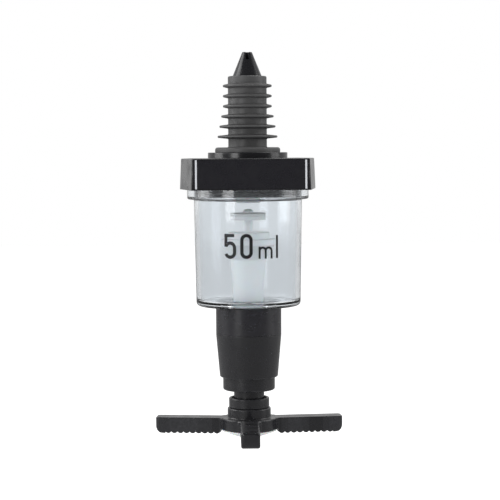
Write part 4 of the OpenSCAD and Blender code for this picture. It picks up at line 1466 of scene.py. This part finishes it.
@dataclass
class Studio:
    """The camera, lamps, backdrop and floor, in metres and degrees."""

    camera_distance: float = 0.640
    camera_height: float = 0.0152
    camera_bearing: float = -2.8
    aim_right: float = 0.0007
    aim_level: float = -0.02435
    roll: float = -0.35
    focal_pixels: float = 1613.0
    picture: float = 500.0
    sensor: float = 36.0
    middle: float = -0.025
    floor_level: float = -0.2
    floor_size: float = 6.0
    floor_tone: Colour = (0.8, 0.8, 0.8)
    mirrored_shade_tone: Colour = (0.3, 0.3, 0.3)
    floor_glow: float = 0.62
    mirrored_shade_glow: float = 0.06
    light: Colour = (1.0, 1.0, 1.0)
    fill: float = 0.6
    inner_boost: float = 1.4
    front_gloss: float = 0.06
    back_gloss: float = 0.55
    gloss_fade: tuple[float, float] = (-0.15, 0.35)
    softboxes: tuple[Softbox, ...] = (
        Softbox("left_softbox", -92, 22, 1.0, 0.6, 0.85, 3.0),
        Softbox("right_softbox", 86, 16, 1.0, 0.55, 0.7, 2.0),
        Softbox("front_left_softbox", -38, 8, 1.2, 0.45, 0.5, 3.6),
        Softbox("top_softbox", 150, 62, 0.9, 0.7, 0.5, 2.0),
    )

    def sight(self, bearing: float) -> Vector:
        """Level direction from the object, bearing degrees to the right of the camera's line."""
        angle = math.radians(self.camera_bearing + bearing)
        return Vector((math.sin(angle), -math.cos(angle), 0))

    def camera(self) -> None:
        """Sets the camera where the photograph was taken from, looking slightly down."""
        line = self.sight(0)
        right = Vector((-line.y, line.x, 0))
        place = line * self.camera_distance + Vector((0, 0, self.camera_height))
        target = right * self.aim_right + Vector((0, 0, self.aim_level))
        data = bpy.data.cameras.new("photograph_view")
        data.sensor_width = self.sensor
        data.lens = self.focal_pixels / self.picture * self.sensor
        data.clip_start, data.clip_end = 0.01, 20
        holder = bpy.data.objects.new("photograph_view", data)
        turn = (target - place).to_track_quat("-Z", "Y").to_matrix().to_4x4()
        holder.matrix_world = (Matrix.Translation(place) @ turn
                               @ Matrix.Rotation(math.radians(self.roll), 4, "Z"))
        bpy.context.scene.collection.objects.link(holder)
        bpy.context.scene.camera = holder

    def lamps(self) -> None:
        """Hangs the softboxes, which the camera doesn't see."""
        middle = Vector((0, 0, self.middle))
        for box in self.softboxes:
            rise = math.radians(box.rise)
            ray = self.sight(box.bearing) * math.cos(rise) + Vector((0, 0, math.sin(rise)))
            data = bpy.data.lights.new(box.name, "AREA")
            data.shape, data.size, data.size_y = "RECTANGLE", box.width, box.height
            data.energy = box.radiance * math.pi * box.width * box.height
            lamp = bpy.data.objects.new(box.name, data)
            lamp.matrix_world = (Matrix.Translation(middle + ray * box.distance)
                                 @ ray.to_track_quat("Z", "Y").to_matrix().to_4x4())
            lamp.visible_camera = False
            bpy.context.scene.collection.objects.link(lamp)

    def world(self) -> None:
        """Lights the scene evenly, with a white backdrop behind and a dim room in front.

        Camera and transmission rays see white. Light that reaches a surface through the clear
        chamber is raised, since no lamp shines through it. Glossy rays see a pale backdrop behind
        the object and fade to the dim room in front of it. All other rays see the fill.
        """
        world = bpy.data.worlds.new("studio")
        w = bare(world)
        path = w.node("ShaderNodeLightPath").outputs
        way = w.node("ShaderNodeTexCoord").outputs["Generated"]
        depth = w.node("ShaderNodeSeparateXYZ", {"Vector": way}).outputs["Y"]
        start, end = self.gloss_fade
        room = w.node("ShaderNodeMapRange", {0: depth, 1: start, 2: end, 3: self.front_gloss,
                                             4: self.back_gloss},
                      interpolation_type="SMOOTHSTEP").outputs[0]
        seen = w.math("MAXIMUM", path["Is Camera Ray"], path["Is Transmission Ray"])
        inside = w.math("MINIMUM", path["Diffuse Depth"], 1.0)
        raised = w.math("MULTIPLY_ADD", inside, self.inner_boost, 1.0)
        strength = w.blend(seen, w.blend(path["Is Glossy Ray"], self.fill, room), raised)
        w.end("ShaderNodeOutputWorld",
              w.node("ShaderNodeBackground", {"Color": rgba(self.light), "Strength": strength}))
        bpy.context.scene.world = world

    def floor(self) -> None:
        """Lays a wide floor under the hanging object.

        The camera sees it white, less the object's shadow. Glossy rays see it dim: a painted dark
        reflection, standing in for a dim room below the object.
        """
        half = self.floor_size / 2
        corners = np.array([[-half, -half], [half, -half], [half, half], [-half, half]])
        plane = mesh_object("studio_floor", np.column_stack([corners, np.full(4, self.floor_level)]),
                            [(0, 1, 2, 3)])
        material = bpy.data.materials.new("pale_floor")
        w = bare(material)
        path = w.node("ShaderNodeLightPath").outputs
        seen = w.math("MAXIMUM", path["Is Camera Ray"], path["Is Transmission Ray"])
        # painted dark reflection: glossy rays see the floor dim, so the object mirrors shade from below
        mirrored = path["Is Glossy Ray"]
        tone = w.mix(mirrored, rgba(self.floor_tone), rgba(self.mirrored_shade_tone))
        strength = w.math("MULTIPLY_ADD", seen, self.floor_glow,
                          w.math("MULTIPLY", mirrored, self.mirrored_shade_glow))
        w.end("ShaderNodeOutputMaterial", w.node("ShaderNodeAddShader", {
            0: w.node("ShaderNodeBsdfDiffuse", {"Color": tone}).outputs[0],
            1: w.node("ShaderNodeEmission", {"Color": rgba(self.light), "Strength": strength}).outputs[0]}))
        plane.data.materials.append(material)

    def build(self) -> None:
        """Sets up the whole studio."""
        self.camera()
        self.lamps()
        self.world()
        self.floor()


def main() -> None:
    """Builds the studio, dresses the solids and builds the pieces in order from the bottle down."""
    logging.basicConfig(level=logging.INFO, format="%(name)s: %(message)s")
    bpy.context.scene.view_settings.view_transform = "Standard"
    Studio().build()
    dress_kept_solids()
    for maker in (BottleEnd(), Head(), Chamber(), Valve(), Housing(), PlungerEnd(), Lever()):
        maker.build()
        log.info("%s done", type(maker).__name__)


if __name__ == "__main__":
    main()
